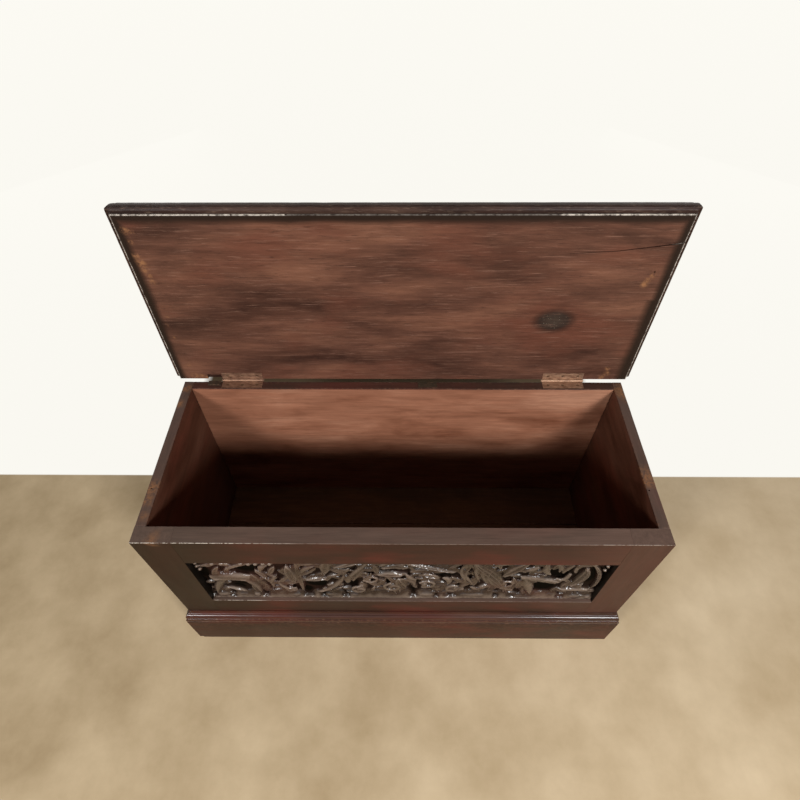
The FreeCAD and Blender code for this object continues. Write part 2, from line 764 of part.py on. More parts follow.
# Carved panel: a sheet with its edges in the grooves, and on it the main forms of the carving, each
# between two curved sides. Shares of a form: where its base and its tip are, across the opening and up
# it; how round its left and right sides are, of the run and rise between the two, where 0 is straight
# and a minus sign bends the right side like the left; and its height, of the carving's depth.
CARVED_FORM_SHARES = {
    "left_flank": (0.018, 0.04, 0.086, 0.585, 0.5, 0, 0.74),
    "left_leg": (0.074, 0.595, 0.132, 0.04, 0.5, -1.7, 0.72),
    "left_haunch": (0.036, 0.22, 0.102, 0.05, 0.5, -1.2, 0.7),
    "left_paw": (0.01, 0.02, 0.06, 0.03, 0.5, 0, 0.85),
    "left_tail": (0.056, 0.6, 0.194, 0.86, 0.55, -1.06, 0.62),
    "curled_leaf": (0.14, 0.525, 0.162, 0.14, 0.5, -0.85, 0.62),
    "tall_leaf": (0.23, 0.355, 0.222, 0.79, 0.66, 0.66, 0.76),
    "left_stem": (0.244, 0.03, 0.246, 0.945, 2.67, 2.67, 0.58),
    "left_bud": (0.256, 0.45, 0.316, 0.485, 0.5, 0.5, 0.72),
    "forked_limb": (0.358, 0.64, 0.268, 0.075, 0.5, -1.06, 0.66),
    "upright_leaf": (0.31, 0.585, 0.322, 0.93, 0.57, 0.57, 0.64),
    "wing_leaf": (0.33, 0.755, 0.403, 0.895, 0.55, 0.55, 0.7),
    "swirl": (0.403, 0.02, 0.399, 0.31, 0.5, 0.75, 0.72),
    "middle_leaf": (0.435, 0.595, 0.507, 0.57, 0.6, 0.6, 0.7),
    "crest_leaf": (0.445, 0.73, 0.515, 0.85, 0.62, 0.62, 0.64),
    "middle_mask": (0.487, 0.04, 0.495, 0.49, 0.55, 0.55, 0.74),
    "ridged_leaf": (0.499, 0.92, 0.64, 0.655, 0.78, 0.78, 0.8),
    "fan_leaf": (0.605, 0.72, 0.653, 0.92, 0.5, 0.5, 0.6),
    "small_arch": (0.549, 0.5, 0.601, 0.465, 0.5, -1.47, 0.66),
    "low_lobes": (0.547, 0.245, 0.599, 0.28, 0.5, 0.5, 0.62),
    "ring_flower": (0.611, 0.2, 0.663, 0.218, 0.5, 0.5, 0.66),
    "feathers": (0.667, 0.92, 0.763, 0.185, 0.64, 0.64, 0.7),
    "round_bud": (0.747, 0.525, 0.806, 0.92, 0.58, 0.58, 0.7),
    "hooked_leaf": (0.859, 0.605, 0.841, 0.92, 0.77, 0.77, 0.64),
    "right_leg": (0.837, 0.055, 0.805, 0.545, 0.75, 0.75, 0.72),
    "right_back": (0.797, 0.515, 0.919, 0.465, 0.6, 0, 0.76),
    "right_flank": (0.943, 0.78, 0.921, 0.285, 0.5, 0, 0.74),
    "right_haunch": (0.898, 0.218, 0.99, 0.218, 1.1, 1.1, 0.7),
    "right_tail": (0.938, 0.927, 0.98, 0.15, 0.62, -1.02, 0.62),
    "right_paw": (0.943, 0.02, 0.993, 0.03, 0.5, 0, 0.85),
    "right_stone": (0.869, 0.02, 0.917, 0.03, 0.5, 0, 0.8),
    "bank": (0.161, 0.008, 0.853, 0.008, 5.76, 0, 0.85),
}
opening_span = opening_right - opening_left
opening_rise = opening_high - opening_low
carving_depth = panel_ground - front - dim("panel_recess")
FACING_FRONT = FreeCAD.Rotation(FreeCAD.Vector(1, 0, 0), 90)


def carved_form(name, shares):
    """One form of the carving, rooted halfway through the sheet."""
    base_across, base_up, tip_across, tip_up, left_round, right_round, height = shares
    sides = opening_span * abs(tip_across - base_across) + opening_rise * abs(tip_up - base_up)

    def corner(across, up, round_share):
        point = (opening_left + opening_span * across, opening_low + opening_rise * up)
        if round_share == 0:
            return point
        return point + (sides * abs(round_share), math.copysign(1, round_share))

    sketch = doc.addObject("Sketcher::SketchObject", f"{name}_outline")
    sketch.Placement = FreeCAD.Placement(FreeCAD.Vector(), FACING_FRONT)
    place(sketch, ZERO, panel_rear - dim("tongue_thickness") / 2, ZERO)
    outline(sketch, [corner(base_across, base_up, right_round), corner(tip_across, tip_up, left_round)])
    form = doc.addObject("Part::Extrusion", name)
    form.Base = sketch
    form.DirMode = "Normal"
    form.Solid = True
    form.setExpression("LengthFwd", (dim("tongue_thickness") / 2 + carving_depth * height).formula)
    return form


tongue_reach = dim("groove_depth") - loose
panel_sheet = block("panel_sheet", eased(opening_width, tongue_reach), (panel_ground, panel_rear),
                    (opening_low - tongue_reach, opening_high + tongue_reach))
carved_forms = [carved_form(name, shares) for name, shares in CARVED_FORM_SHARES.items()]
keep(fuse("front_carved_panel", [panel_sheet] + carved_forms), "front_carved_panel")


# Check every object and every finished piece, then write the pieces
doc.recompute()
for item in doc.Objects:
    if "Invalid" in item.State or "Error" in item.State:
        raise RuntimeError(f"{item.Name} did not build: {item.State}")
for piece in pieces:
    if piece.Shape.isNull() or not piece.Shape.isValid() or not piece.Shape.Solids:
        raise RuntimeError(f"{piece.Label} has no valid solid")
os.makedirs("parts", exist_ok=True)
for piece in pieces:
    piece.Shape.exportStep(f"parts/{piece.Label}.step")
    print(piece.Label, len(piece.Shape.Solids), round(piece.Shape.Volume))
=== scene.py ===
import json
import math
import random

import bpy
import numpy as np
from mathutils import Matrix, Vector, noise


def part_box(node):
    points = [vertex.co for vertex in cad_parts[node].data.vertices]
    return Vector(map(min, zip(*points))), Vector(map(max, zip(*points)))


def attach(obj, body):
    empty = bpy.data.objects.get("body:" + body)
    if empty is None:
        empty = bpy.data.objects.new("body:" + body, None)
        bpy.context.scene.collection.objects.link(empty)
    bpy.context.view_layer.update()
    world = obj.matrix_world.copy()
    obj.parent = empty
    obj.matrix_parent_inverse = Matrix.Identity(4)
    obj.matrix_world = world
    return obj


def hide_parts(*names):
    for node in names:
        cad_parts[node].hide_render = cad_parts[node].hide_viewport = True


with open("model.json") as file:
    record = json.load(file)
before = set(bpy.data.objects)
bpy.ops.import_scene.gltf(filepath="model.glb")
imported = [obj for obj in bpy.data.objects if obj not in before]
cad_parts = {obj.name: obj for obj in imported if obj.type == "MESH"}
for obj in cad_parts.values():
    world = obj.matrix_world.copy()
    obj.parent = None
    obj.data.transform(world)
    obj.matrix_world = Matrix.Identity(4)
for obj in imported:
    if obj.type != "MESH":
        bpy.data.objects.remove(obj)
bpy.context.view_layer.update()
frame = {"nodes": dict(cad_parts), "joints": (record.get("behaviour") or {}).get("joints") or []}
MM = 0.001


# Framed front. Two stiles run from the floor to the rim and two rails are tenoned between them.
# Close-grained hardwood, planed by hand, stained dark brown and varnished, with rubbed arrises.
ARRIS = 1.6 * MM
SEAM_ARRIS = 0.4 * MM
BOARD_CELL = 18 * MM
PLANE_MARK = 0.12 * MM
RUB_REACH = 2.5 * MM
RUB_AMOUNT = 0.7
CREASE = 35
ARRIS_STEPS = (0, 0.5, 1, 2.2, 4.5)
THIN_BOARD = 2.5


def grid_lines(length, arris, cell):
    """Places of a board's grid lines along one side, close together near its two arrises."""
    edge = [arris * share for share in ARRIS_STEPS]
    if length < edge[-1] * THIN_BOARD:
        edge = edge[:3]
    middle = np.linspace(edge[-1], length - edge[-1], max(2, round(length / cell)))
    return np.concatenate([edge[:-1], middle, [length - place for place in reversed(edge[:-1])]])


def mesh_piece(name, points, faces, crease=CREASE):
    """A mesh object in the chest's own frame, shaded smooth up to a crease angle in degrees."""
    mesh = bpy.data.meshes.new(name)
    mesh.from_pydata([tuple(point) for point in points], [], faces)
    mesh.validate()
    mesh.shade_smooth()
    mesh.set_sharp_from_angle(angle=math.radians(crease))
    piece = bpy.data.objects.new(name, mesh)
    bpy.context.scene.collection.objects.link(piece)
    return piece


def board(name, low, high, arris=ARRIS, cell=BOARD_CELL):
    """A planed board between two corners, with worn arrises that are nowhere quite straight."""
    low, high = np.array(low), np.array(high)
    lines = [low[axis] + grid_lines(high[axis] - low[axis], arris, cell) for axis in range(3)]
    index, points, faces = {}, [], []

    def corner(key):
        if key not in index:
            index[key] = len(points)
            points.append([lines[axis][key[axis]] for axis in range(3)])
        return index[key]

    for axis in range(3):
        across, along = (axis + 1) % 3, (axis + 2) % 3
        for end in (0, len(lines[axis]) - 1):
            for a in range(len(lines[across]) - 1):
                for b in range(len(lines[along]) - 1):
                    ring = []
                    for step_a, step_b in ((0, 0), (1, 0), (1, 1), (0, 1)):
                        key = [end, end, end]
                        key[across], key[along] = a + step_a, b + step_b
                        ring.append(corner(tuple(key)))
                    faces.append(ring if end else ring[::-1])
    shaped = []
    for point in np.array(points):
        place = Vector(point)
        radius = arris * (0.85 + 0.6 * noise.noise(place * 31))
        inner = np.clip(point, low + radius, high - radius)
        out = point - inner
        out = out / np.linalg.norm(out)
        dip = PLANE_MARK * (1 + noise.noise(place * 7))
        shaped.append(inner + out * (radius - dip))
    return mesh_piece(name, shaped, faces)


def store(piece, name, values):
    attribute = piece.data.attributes.new(name, "FLOAT", "POINT")
    attribute.data.foreach_set("value", values)


def paint(piece, name, amount):
    """Store a value from 0 to 1 on each vertex, given by a function of its place."""
    store(piece, name, [min(1.0, max(0.0, amount(vertex.co))) for vertex in piece.data.vertices])


def rub_arrises(piece, low, high, reach=RUB_REACH):
    """Mark the arrises of a board, where hands and cloths rub its finish away."""
    def amount(place):
        gaps = sorted(min(place[i] - low[i], high[i] - place[i]) for i in range(3))
        return RUB_AMOUNT * math.exp(-max(0, gaps[1]) / reach)
    paint(piece, "rubbed", amount)


def colour(red, green, blue):
    """A colour as it is seen, 0 to 255, turned into the linear values of a shader."""
    shares = [value / 255 for value in (red, green, blue)]
    linear = [s / 12.92 if s <= 0.04045 else ((s + 0.055) / 1.055) ** 2.4 for s in shares]
    return (*linear, 1)


def new_finish(name):
    material = bpy.data.materials.new(name)
    material.use_nodes = True
    tree = material.node_tree
    return material, tree, tree.nodes["Principled BSDF"]


def grain_noise(tree, scale, detail=5, roughness=0.6, distortion=0):
    """Noise over the piece's own frame, with a number of cells per metre along each axis."""
    place = tree.nodes.new("ShaderNodeTexCoord")
    mapping = tree.nodes.new("ShaderNodeMapping")
    mapping.inputs["Scale"].default_value = scale
    texture = tree.nodes.new("ShaderNodeTexNoise")
    texture.inputs["Scale"].default_value = 1
    texture.inputs["Detail"].default_value = detail
    texture.inputs["Roughness"].default_value = roughness
    texture.inputs["Distortion"].default_value = distortion
    tree.links.new(place.outputs["Object"], mapping.inputs["Vector"])
    tree.links.new(mapping.outputs["Vector"], texture.inputs["Vector"])
    return texture.outputs["Fac"]


def ramp(tree, value, stops):
    """A colour ramp with stops of (place, colour)."""
    node = tree.nodes.new("ShaderNodeValToRGB")
    elements = node.color_ramp.elements
    while len(elements) < len(stops):
        elements.new(0.5)
    for element, (place, tone) in zip(elements, stops):
        element.position = place
        element.color = tone
    tree.links.new(value, node.inputs["Fac"])
    return node.outputs["Color"]


def spread(tree, value, low, high, to_low=0.0, to_high=1.0):
    """A value stretched from one range to another and held inside it."""
    node = tree.nodes.new("ShaderNodeMapRange")
    for socket, number in zip(node.inputs[1:5], (low, high, to_low, to_high)):
        socket.default_value = number
    tree.links.new(value, node.inputs["Value"])
    return node.outputs["Result"]


def times(tree, first, second):
    node = tree.nodes.new("ShaderNodeMath")
    node.operation = "MULTIPLY"
    tree.links.new(first, node.inputs[0])
    if isinstance(second, (int, float)):
        node.inputs[1].default_value = second
    else:
        tree.links.new(second, node.inputs[1])
    return node.outputs["Value"]


def laid_over(tree, amount, under, over, way="MIX"):
    """One colour laid over another, by an amount that is a number or comes from a node."""
    node = tree.nodes.new("ShaderNodeMix")
    node.data_type = "RGBA"
    node.blend_type = way
    for socket, value in ((node.inputs[0], amount), (node.inputs[6], under), (node.inputs[7], over)):
        if isinstance(value, (int, float, tuple)):
            socket.default_value = value
        else:
            tree.links.new(value, socket)
    return node.outputs[2]


def painted(tree, name):
    node = tree.nodes.new("ShaderNodeAttribute")
    node.attribute_name = name
    return node.outputs["Fac"]


def along_grain(grain, along, across):
    """Cells per metre along and across the grain, for grain that runs along X, Y or Z."""
    return tuple(along if axis == grain else across for axis in "XYZ")


def raise_grain(tree, shader, height, strength, depth):
    bump = tree.nodes.new("ShaderNodeBump")
    bump.inputs["Strength"].default_value = strength
    bump.inputs["Distance"].default_value = depth
    tree.links.new(height, bump.inputs["Height"])
    tree.links.new(bump.outputs["Normal"], shader.inputs["Normal"])


FIBRE_DARK = (0.62, 0.6, 0.58, 1)
FIBRE_LIGHT = (1.22, 1.22, 1.22, 1)
STREAK_DARK = (0.72, 0.7, 0.68, 1)
STREAK_LIGHT = (1.22, 1.2, 1.18, 1)
BARE_TONES = (colour(120, 74, 54), colour(158, 107, 83), colour(182, 132, 106))
RUBBED_TONE = colour(128, 92, 72)
OCHRE_TONE = colour(152, 106, 72)
# Near-white tone of the painted highlights on the polished arrises
GLINT_TONE = colour(232, 220, 206)
# Lighter tone of the top faces: scuffing, with a painted sheen of the light from above
SCUFF_AND_SHEEN_TONE = colour(132, 110, 98)
# Painted shade in the reveals of the opening
REVEAL_SHADE_TONE = colour(12, 8, 5)
OLD_POLISH_TONE = colour(29, 17, 6)
FADED_TONE = colour(72, 44, 35)
STREAK_CELLS = (7, 95)
FIBRE_CELLS = (22, 560)
CLOUD_CELLS = (3.2, 11)
FLUSH_CELLS = (4.1, 8)
FRET_CELLS = (110, 110, 110)
CLOUD_STOPS = (0.32, 0.5, 0.68)
FIBRE_RELIEF = (0.25, 0.3 * MM)
WEAR_MIX = 0.85


def grained(tree, surface, grain):
    """Lay the streaks and fibres of the wood over a colour."""
    streak = grain_noise(tree, along_grain(grain, *STREAK_CELLS), 6, 0.65, 0.4)
    streak_tone = ramp(tree, streak, [(0.3, STREAK_DARK), (0.7, STREAK_LIGHT)])
    surface = laid_over(tree, 0.8, surface, streak_tone, "MULTIPLY")
    fibre = grain_noise(tree, along_grain(grain, *FIBRE_CELLS), 4, 0.7)
    fibre_tone = ramp(tree, fibre, [(0.3, FIBRE_DARK), (0.7, FIBRE_LIGHT)])
    return laid_over(tree, 0.35, surface, fibre_tone, "MULTIPLY"), fibre


def mottled(tree, grain, tones, flush):
    """Broad clouds of stain, with redder flushes among them."""
    cloud = grain_noise(tree, along_grain(grain, *CLOUD_CELLS), 5, 0.6, 0.3)
    surface = ramp(tree, cloud, list(zip(CLOUD_STOPS, tones)))
    red = spread(tree, grain_noise(tree, along_grain(grain, *FLUSH_CELLS), 3, 0.55), 0.5, 0.7)
    return laid_over(tree, red, surface, flush), cloud


def wear_and_glint(tree, surface, mark, tone, low, high):
    """Show another colour where a mark is painted, broken up by a fret of fine noise; it lays both wear and
    painted highlights.
    """
    fret = spread(tree, grain_noise(tree, FRET_CELLS, 5, 0.7), low, high)
    return laid_over(tree, times(tree, painted(tree, mark), fret), surface, tone)


def stained_wood(name, grain, tones, flush, gloss, specular=0.18):
    """Wood under a dark stain: rubbed on the arrises, scuffing with a painted sheen on the tops, bare inside,
    painted shade in the reveals and a painted highlight on the front arrises.
    """
    material, tree, shader = new_finish(name)
    surface, cloud = mottled(tree, grain, tones, flush)
    bare, _ = mottled(tree, grain, BARE_TONES, BARE_TONES[1])
    for mark, tone in (("old_polish", OLD_POLISH_TONE), ("faded", FADED_TONE)):
        surface = laid_over(tree, times(tree, painted(tree, mark), WEAR_MIX), surface, tone)
    # Bare wood inside, and on the tops scuffing with a painted sheen
    for mark, tone in (("bare", bare), ("scuff_and_sheen", SCUFF_AND_SHEEN_TONE)):
        surface = laid_over(tree, painted(tree, mark), surface, tone)
    surface, fibre = grained(tree, surface, grain)
    # Painted shade in the reveals of the opening
    surface = laid_over(tree, painted(tree, "reveal_shade"), surface, REVEAL_SHADE_TONE)
    surface = wear_and_glint(tree, surface, "rubbed", RUBBED_TONE, 0.5, 0.62)
    surface = wear_and_glint(tree, surface, "ochre", OCHRE_TONE, 0.38, 0.56)
    # Painted highlight on the front arrises, partly rubbed wear
    surface = wear_and_glint(tree, surface, "glint", GLINT_TONE, 0.42, 0.5)
    tree.links.new(surface, shader.inputs["Base Color"])
    tree.links.new(spread(tree, cloud, 0.3, 0.7, *gloss), shader.inputs["Roughness"])
    shader.inputs["Specular IOR Level"].default_value = specular
    raise_grain(tree, shader, fibre, *FIBRE_RELIEF)
    return material


STAIN_TONES = (colour(36, 16, 11), colour(49, 24, 17), colour(62, 33, 25))
STAIN_FLUSH = colour(78, 30, 23)
STAIN_GLOSS = (0.36, 0.5)
stain_across = stained_wood("stain_grain_across", "X", STAIN_TONES, STAIN_FLUSH, STAIN_GLOSS)
stain_upright = stained_wood("stain_grain_upright", "Z", STAIN_TONES, STAIN_FLUSH, STAIN_GLOSS)


def fit_piece(piece, material, body, slot, *nodes):
    """Give a piece its finish, tie it to its body and let it stand for its nodes."""
    piece.data.materials.append(material)
    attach(piece, body)
    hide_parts(*nodes)
    return piece


stile_low, stile_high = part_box("front_left_stile")
front_y, inner_front = stile_low.y, stile_high.y
rim = stile_high.z
half_width = -stile_low.x
opening_left = stile_high.x
opening_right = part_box("front_right_stile")[0].x
opening_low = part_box("front_bottom_rail")[1].z
opening_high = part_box("front_top_rail")[0].z
front_boards = {
    "front_left_stile": ((-half_width, 0), (opening_left, rim), stain_upright),
    "front_right_stile": ((opening_right, 0), (half_width, rim), stain_upright),
    "front_top_rail": ((opening_left, opening_high), (opening_right, rim), stain_across),
    "front_bottom_rail": ((opening_left, 0), (opening_right, opening_low), stain_across),
}
RIM_OCHRE = ((-551, 8, 9), (-543, 17, 9), (-557, 22, 5), (-585, 4, 4))
SPOT_STRETCH = 1.6
SPOT_CORE = 1.4
SPOT_DEPTH = 4 * MM
SKIN = 1 * MM
TOP_SCUFF_AND_SHEEN = 0.5
REVEAL_SKIN = 0.7 * MM
GLINT_LINE = 1.2 * MM
# Stretches of the painted highlight on the front arris: where each ends in X, and how bright it is on the rim
# and on the ledge
GLINT_STRETCHES = ((-0.36, 1, 0.8), (-0.24, 0.45, 0.15), (0.42, 0.13, 0.15), (1, 0.36, 0.15))
STAINED_RIM = 3 * MM
POLISH_START, POLISH_RUN = -0.3, 0.22
RAIL_POLISH, RAIL_POLISH_START = 0.35, 0.1
FADE_START, FADE_RUN = 0.36, 0.16


def near(place, spots):
    """How near a place on the rim is to a worn spot: spots of X, Y behind the front, and size."""
    best = 0
    for x, y, size in spots:
        gap = math.hypot((place.x - x * MM) / SPOT_STRETCH, place.y - front_y - y * MM)
        best = max(best, SPOT_CORE - gap / (size * MM))
    return best if place.z > rim - SPOT_DEPTH else 0


# Top faces are lighter: partly scuffing, partly a painted sheen of the light from above
def on_top(place, top):
    return TOP_SCUFF_AND_SHEEN if place.z > top - SKIN else 0


def in_reveal(place):
    """The sides of the opening, painted black as the shade that falls there."""
    beside = min(abs(place.x - opening_left), abs(place.x - opening_right)) < REVEAL_SKIN
    return 1 if beside and opening_low < place.z < opening_high and place.y > front_y + SKIN else 0


def rim_glint(place):
    """A painted highlight along the front arrises of the rim and the ledge, partly rubbed wear: bright at the
    left, broken into dots further on.
    """
    line = 1.3 - math.hypot(place.y - front_y, place.z - rim) / GLINT_LINE
    ledge = 1.2 - math.hypot(place.y - front_y, place.z - opening_low) / GLINT_LINE
    on_line, on_ledge = next(stretch[1:] for stretch in GLINT_STRETCHES if place.x <= stretch[0])
    return max(line * on_line, ledge * on_ledge)


for name, ((left, foot), (right, top), finish) in front_boards.items():
    low, high = (left, front_y, foot), (right, inner_front, top)
    piece = board(f"{name}_board", low, high, SEAM_ARRIS)
    # Painted highlight along the front arrises of the rim and the ledge, partly rubbed wear
    paint(piece, "glint", rim_glint)
    paint(piece, "bare", lambda place: place.y > inner_front - SKIN and place.z < rim - STAINED_RIM)
    paint(piece, "ochre", lambda place: near(place, RIM_OCHRE))
    # Painted sheen on the top faces, with scuffing
    paint(piece, "scuff_and_sheen", lambda place: on_top(place, top))
    # Painted shade on the sides of the opening
    paint(piece, "reveal_shade", in_reveal)
    rail_polish = RAIL_POLISH if top == opening_low else 0
    paint(piece, "old_polish", lambda place: max((POLISH_START - place.x) / POLISH_RUN,
                                                 min(rail_polish, place.x - RAIL_POLISH_START)))
    paint(piece, "faded", lambda place: (place.x - FADE_START) / FADE_RUN)
    fit_piece(piece, finish, "chest", "stained_wood", name)


# End boards. Each stands behind its stile and is dowelled to it. Stained outside and on the rim,
# bare inside, with a small pin hole in the rim where the finish is worn to the wood.
stain_endwise = stained_wood("stain_grain_endwise", "Y", STAIN_TONES, STAIN_FLUSH, STAIN_GLOSS)
PIN_HOLE_RADIUS = 2.2 * MM
PIN_HOLE_DEPTH = 12 * MM
PIN_HOLE_SIDES = 16


def peg(name, centre, axis, radius, depth):
    """A round cutter that starts just outside a face and runs into it along an axis."""
    axis = Vector(axis).normalized()
    side = axis.orthogonal().normalized()
    other = axis.cross(side)
    points, faces = [], []
    for step in (-depth / 4, depth):
        for number in range(PIN_HOLE_SIDES):
            turn = math.tau * number / PIN_HOLE_SIDES
            spoke = side * math.cos(turn) + other * math.sin(turn)
            points.append(centre + axis * step + spoke * radius)
    for number in range(PIN_HOLE_SIDES):
        after = (number + 1) % PIN_HOLE_SIDES
        faces.append((number, after, after + PIN_HOLE_SIDES, number + PIN_HOLE_SIDES))
    faces.append(tuple(reversed(range(PIN_HOLE_SIDES))))
    faces.append(tuple(range(PIN_HOLE_SIDES, PIN_HOLE_SIDES * 2)))
    return mesh_piece(name, points, faces)


def cut_from(piece, cutters):
    """Cut shapes out of a piece and take the cutters away."""
    for cutter in cutters:
        step = piece.modifiers.new(cutter.name, "BOOLEAN")
        step.operation = "DIFFERENCE"
        step.solver = "EXACT"
        step.object = cutter
    bpy.context.view_layer.update()
    shaped = bpy.data.meshes.new_from_object(piece.evaluated_get(bpy.context.evaluated_depsgraph_get()))
    piece.modifiers.clear()
    plain, piece.data = piece.data, shaped
    name = plain.name
    bpy.data.meshes.remove(plain)
    shaped.name = name
    for cutter in cutters:
        mesh = cutter.data
        bpy.data.objects.remove(cutter)
        bpy.data.meshes.remove(mesh)
    shaped.shade_smooth()
    shaped.set_sharp_from_angle(angle=math.radians(CREASE))


END_BARE = 0.22
END_SCUFF_AND_SHEEN = 0.78
END_HOLES = {"left": (-588.5, 137), "right": (578.5, 137)}
END_OCHRE = {
    "left": ((-588, 128, 9), (-588, 142, 13), (-590, 105, 8), (-585, 60, 7), (-586, 452, 9),
             (-590, 395, 6)),
    "right": ((577, 165, 16), (582, 182, 13), (586, 455, 12), (590, 430, 9), (594, 405, 7)),
}
for side, sign in (("left", -1), ("right", 1)):
    low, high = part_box(f"{side}_end_board")
    piece = board(f"{side}_end_board_worn", low, high)
    hole_x, hole_y = END_HOLES[side]
    top = Vector((hole_x * MM, front_y + hole_y * MM, rim))
    cut_from(piece, [peg("pin_hole", top, (0, 0, -1), PIN_HOLE_RADIUS, PIN_HOLE_DEPTH)])
    inner_face = high.x if sign < 0 else low.x
    rub_arrises(piece, low, high)
    paint(piece, "bare",
          lambda place: END_BARE if abs(place.x - inner_face) < SKIN and place.z < rim - STAINED_RIM else 0)
    paint(piece, "ochre", lambda place: near(place, END_OCHRE[side]))
    # Painted sheen on the top of the end board, with scuffing
    paint(piece, "scuff_and_sheen", lambda place: on_top(place, rim) * END_SCUFF_AND_SHEEN)
    fit_piece(piece, stain_endwise, "chest", "stained_wood", f"{side}_end_board")


# Back board. One wide board between the ends, bare inside, its top edge let down for the hinge
# leaves and for two old repairs.
back_low, back_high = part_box("back_board")
HINGE_SIDES = ("left", "right")
LEAF_CLEARANCE = 0.15 * MM
LEAF_DEPTH = 2.5 * MM
CUT_PAST = 2 * MM
BACK_SCUFF_AND_SHEEN = 0.3
BACK_STAINED_RIM = 2 * MM


def box_cutter(name, low, high):
    corners = list(zip(low, high))
    points = [(x, y, z) for x in corners[0] for y in corners[1] for z in corners[2]]
    faces = [(0, 1, 3, 2), (4, 6, 7, 5), (0, 4, 5, 1), (2, 3, 7, 6), (0, 2, 6, 4), (1, 5, 7, 3)]
    return mesh_piece(name, points, faces)


def rim_mortise(node, foot=None):
    """A cutter for the bed of a piece in the rear rim, open at the back, down to a foot or its own."""
    low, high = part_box(node)
    return box_cutter(f"{node}_mortise",
                      (low.x - LEAF_CLEARANCE, low.y - LEAF_CLEARANCE, foot or low.z),
                      (high.x + LEAF_CLEARANCE, back_high.y + CUT_PAST, rim + CUT_PAST))


piece = board("back_board_worn", back_low, back_high)
mortises = [rim_mortise(f"{side}_hinge_body_leaf", rim - LEAF_DEPTH) for side in HINGE_SIDES]
mortises += [rim_mortise(repair) for repair in ("rear_rim_patch", "rear_rim_filler")]
cut_from(piece, mortises)
rub_arrises(piece, back_low, back_high)
paint(piece, "bare", lambda place: place.y < back_low.y + SKIN and place.z < rim - BACK_STAINED_RIM)
# Painted sheen on the top of the back board, with scuffing
paint(piece, "scuff_and_sheen", lambda place: on_top(place, rim) * BACK_SCUFF_AND_SHEEN)
fit_piece(piece, stain_across, "chest", "stained_wood", "back_board")


# Corner dowels. Turned pegs of plain wood, four to each upright corner of the chest, glued half in
# one board and half in the other, out of sight.
BARE_GLOSS = (0.6, 0.75)
peg_wood = stained_wood("peg_wood", "Y", BARE_TONES, BARE_TONES[0], BARE_GLOSS)


def refinish(node, material):
    """Give a piece that keeps its CAD shape its finish."""
    materials = frame["nodes"][node].data.materials
    materials.clear()
    materials.append(material)


for node in ("front_corner_dowels", "back_corner_dowels"):
    refinish(node, peg_wood)


# Bottom. Three bare boards lie lengthwise on bearers that are fixed round the inside of the chest,
# sawn and planed but never stained, and brown with age.
FLOOR_ARRIS = 1 * MM
FLOOR_CELL = 40 * MM
FLOOR_SPECULAR = 0.2
FLOOR_TONES = (colour(74, 46, 28), colour(92, 60, 38), colour(110, 74, 48))
floor_wood = stained_wood("floor_wood", "X", FLOOR_TONES, FLOOR_TONES[0], BARE_GLOSS, FLOOR_SPECULAR)
for number in (1, 2, 3):
    node = f"bottom_board_{number}"
    low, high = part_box(node)
    piece = board(f"{node}_worn", low, high, FLOOR_ARRIS, FLOOR_CELL)
    rub_arrises(piece, low, high)
    fit_piece(piece, floor_wood, "chest", "bare_wood", node)
for node in ("front_bearer", "rear_bearer", "left_bearer", "right_bearer"):
    refinish(node, floor_wood)


# Plinth. Three planed boards round the foot of the chest, mitred at the front corners, with the
# upper arris eased and the foot knocked by brooms and shoes.
PLINTH_ARRIS = 2.2 * MM
RUN_CELL = 16 * MM
RUN_CREASE = 25
ROUND_STEPS = 4
ROUND_ROOM = 0.45


def eased(corners, radius):
    """A section's corners, each cut back and rounded in a few steps."""
    corners = [Vector(corner) for corner in corners]
    rounded = []
    for number, corner in enumerate(corners):
        before, after = corners[number - 1], corners[(number + 1) % len(corners)]
        back, onward = before - corner, after - corner
        room = min(radius, back.length * ROUND_ROOM, onward.length * ROUND_ROOM)
        start, end = corner + back.normalized() * room, corner + onward.normalized() * room
        for step in range(ROUND_STEPS + 1):
            t = step / ROUND_STEPS
            rounded.append(start * (1 - t) ** 2 + corner * 2 * t * (1 - t) + end * t ** 2)
    return rounded


def skin(rows, size, start=0):
    """Faces over a row of rings of equal size, closed at both ends. Start is the first point's number."""
    faces = []
    for row in range(rows - 1):
        near_row, far_row = start + row * size, start + (row + 1) * size
        for number in range(size):
            after = (number + 1) % size
            faces.append((near_row + number, near_row + after, far_row + after, far_row + number))
    last = start + (rows - 1) * size
    return faces + [tuple(reversed(range(start, start + size))), tuple(range(last, last + size))]


def mitred_run(name, section, ends):
    """A moulding of one section. Ends gives, for a projection and height, its two end points."""
    first, last = ends(section[0].x, section[0].y)
    count = max(2, round((last - first).length / RUN_CELL))
    points = []
    for step in range(count + 1):
        for corner in section:
            start, end = ends(corner.x, corner.y)
            points.append(start.lerp(end, step / count))
    return mesh_piece(name, points, skin(count + 1, len(section)), RUN_CREASE)


plinth_low, plinth_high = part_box("plinth_front")
plinth_reach = front_y - plinth_low.y
plinth_top = plinth_high.z
rear_y = back_high.y


def front_run(out, up):
    return Vector((-half_width - out, front_y - out, up)), Vector((half_width + out, front_y - out, up))


def left_run(out, up):
    return Vector((-half_width - out, rear_y, up)), Vector((-half_width - out, front_y - out, up))


def right_run(out, up):
    return Vector((half_width + out, front_y - out, up)), Vector((half_width + out, rear_y, up))


RUNS = (("front", front_run, stain_across), ("left", left_run, stain_endwise),
        ("right", right_run, stain_endwise))
OUTER_SHARE = 0.7
OUTER_RUB = 0.5


def rub_outer(piece, reach, level):
    """Mark the worn place of a run, its outermost arris at a level."""
    def amount(place):
        out = max(abs(place.x) - half_width, front_y - place.y)
        return OUTER_RUB * math.exp(-abs(place.z - level) / RUB_REACH) if out > reach * OUTER_SHARE else 0
    paint(piece, "rubbed", amount)


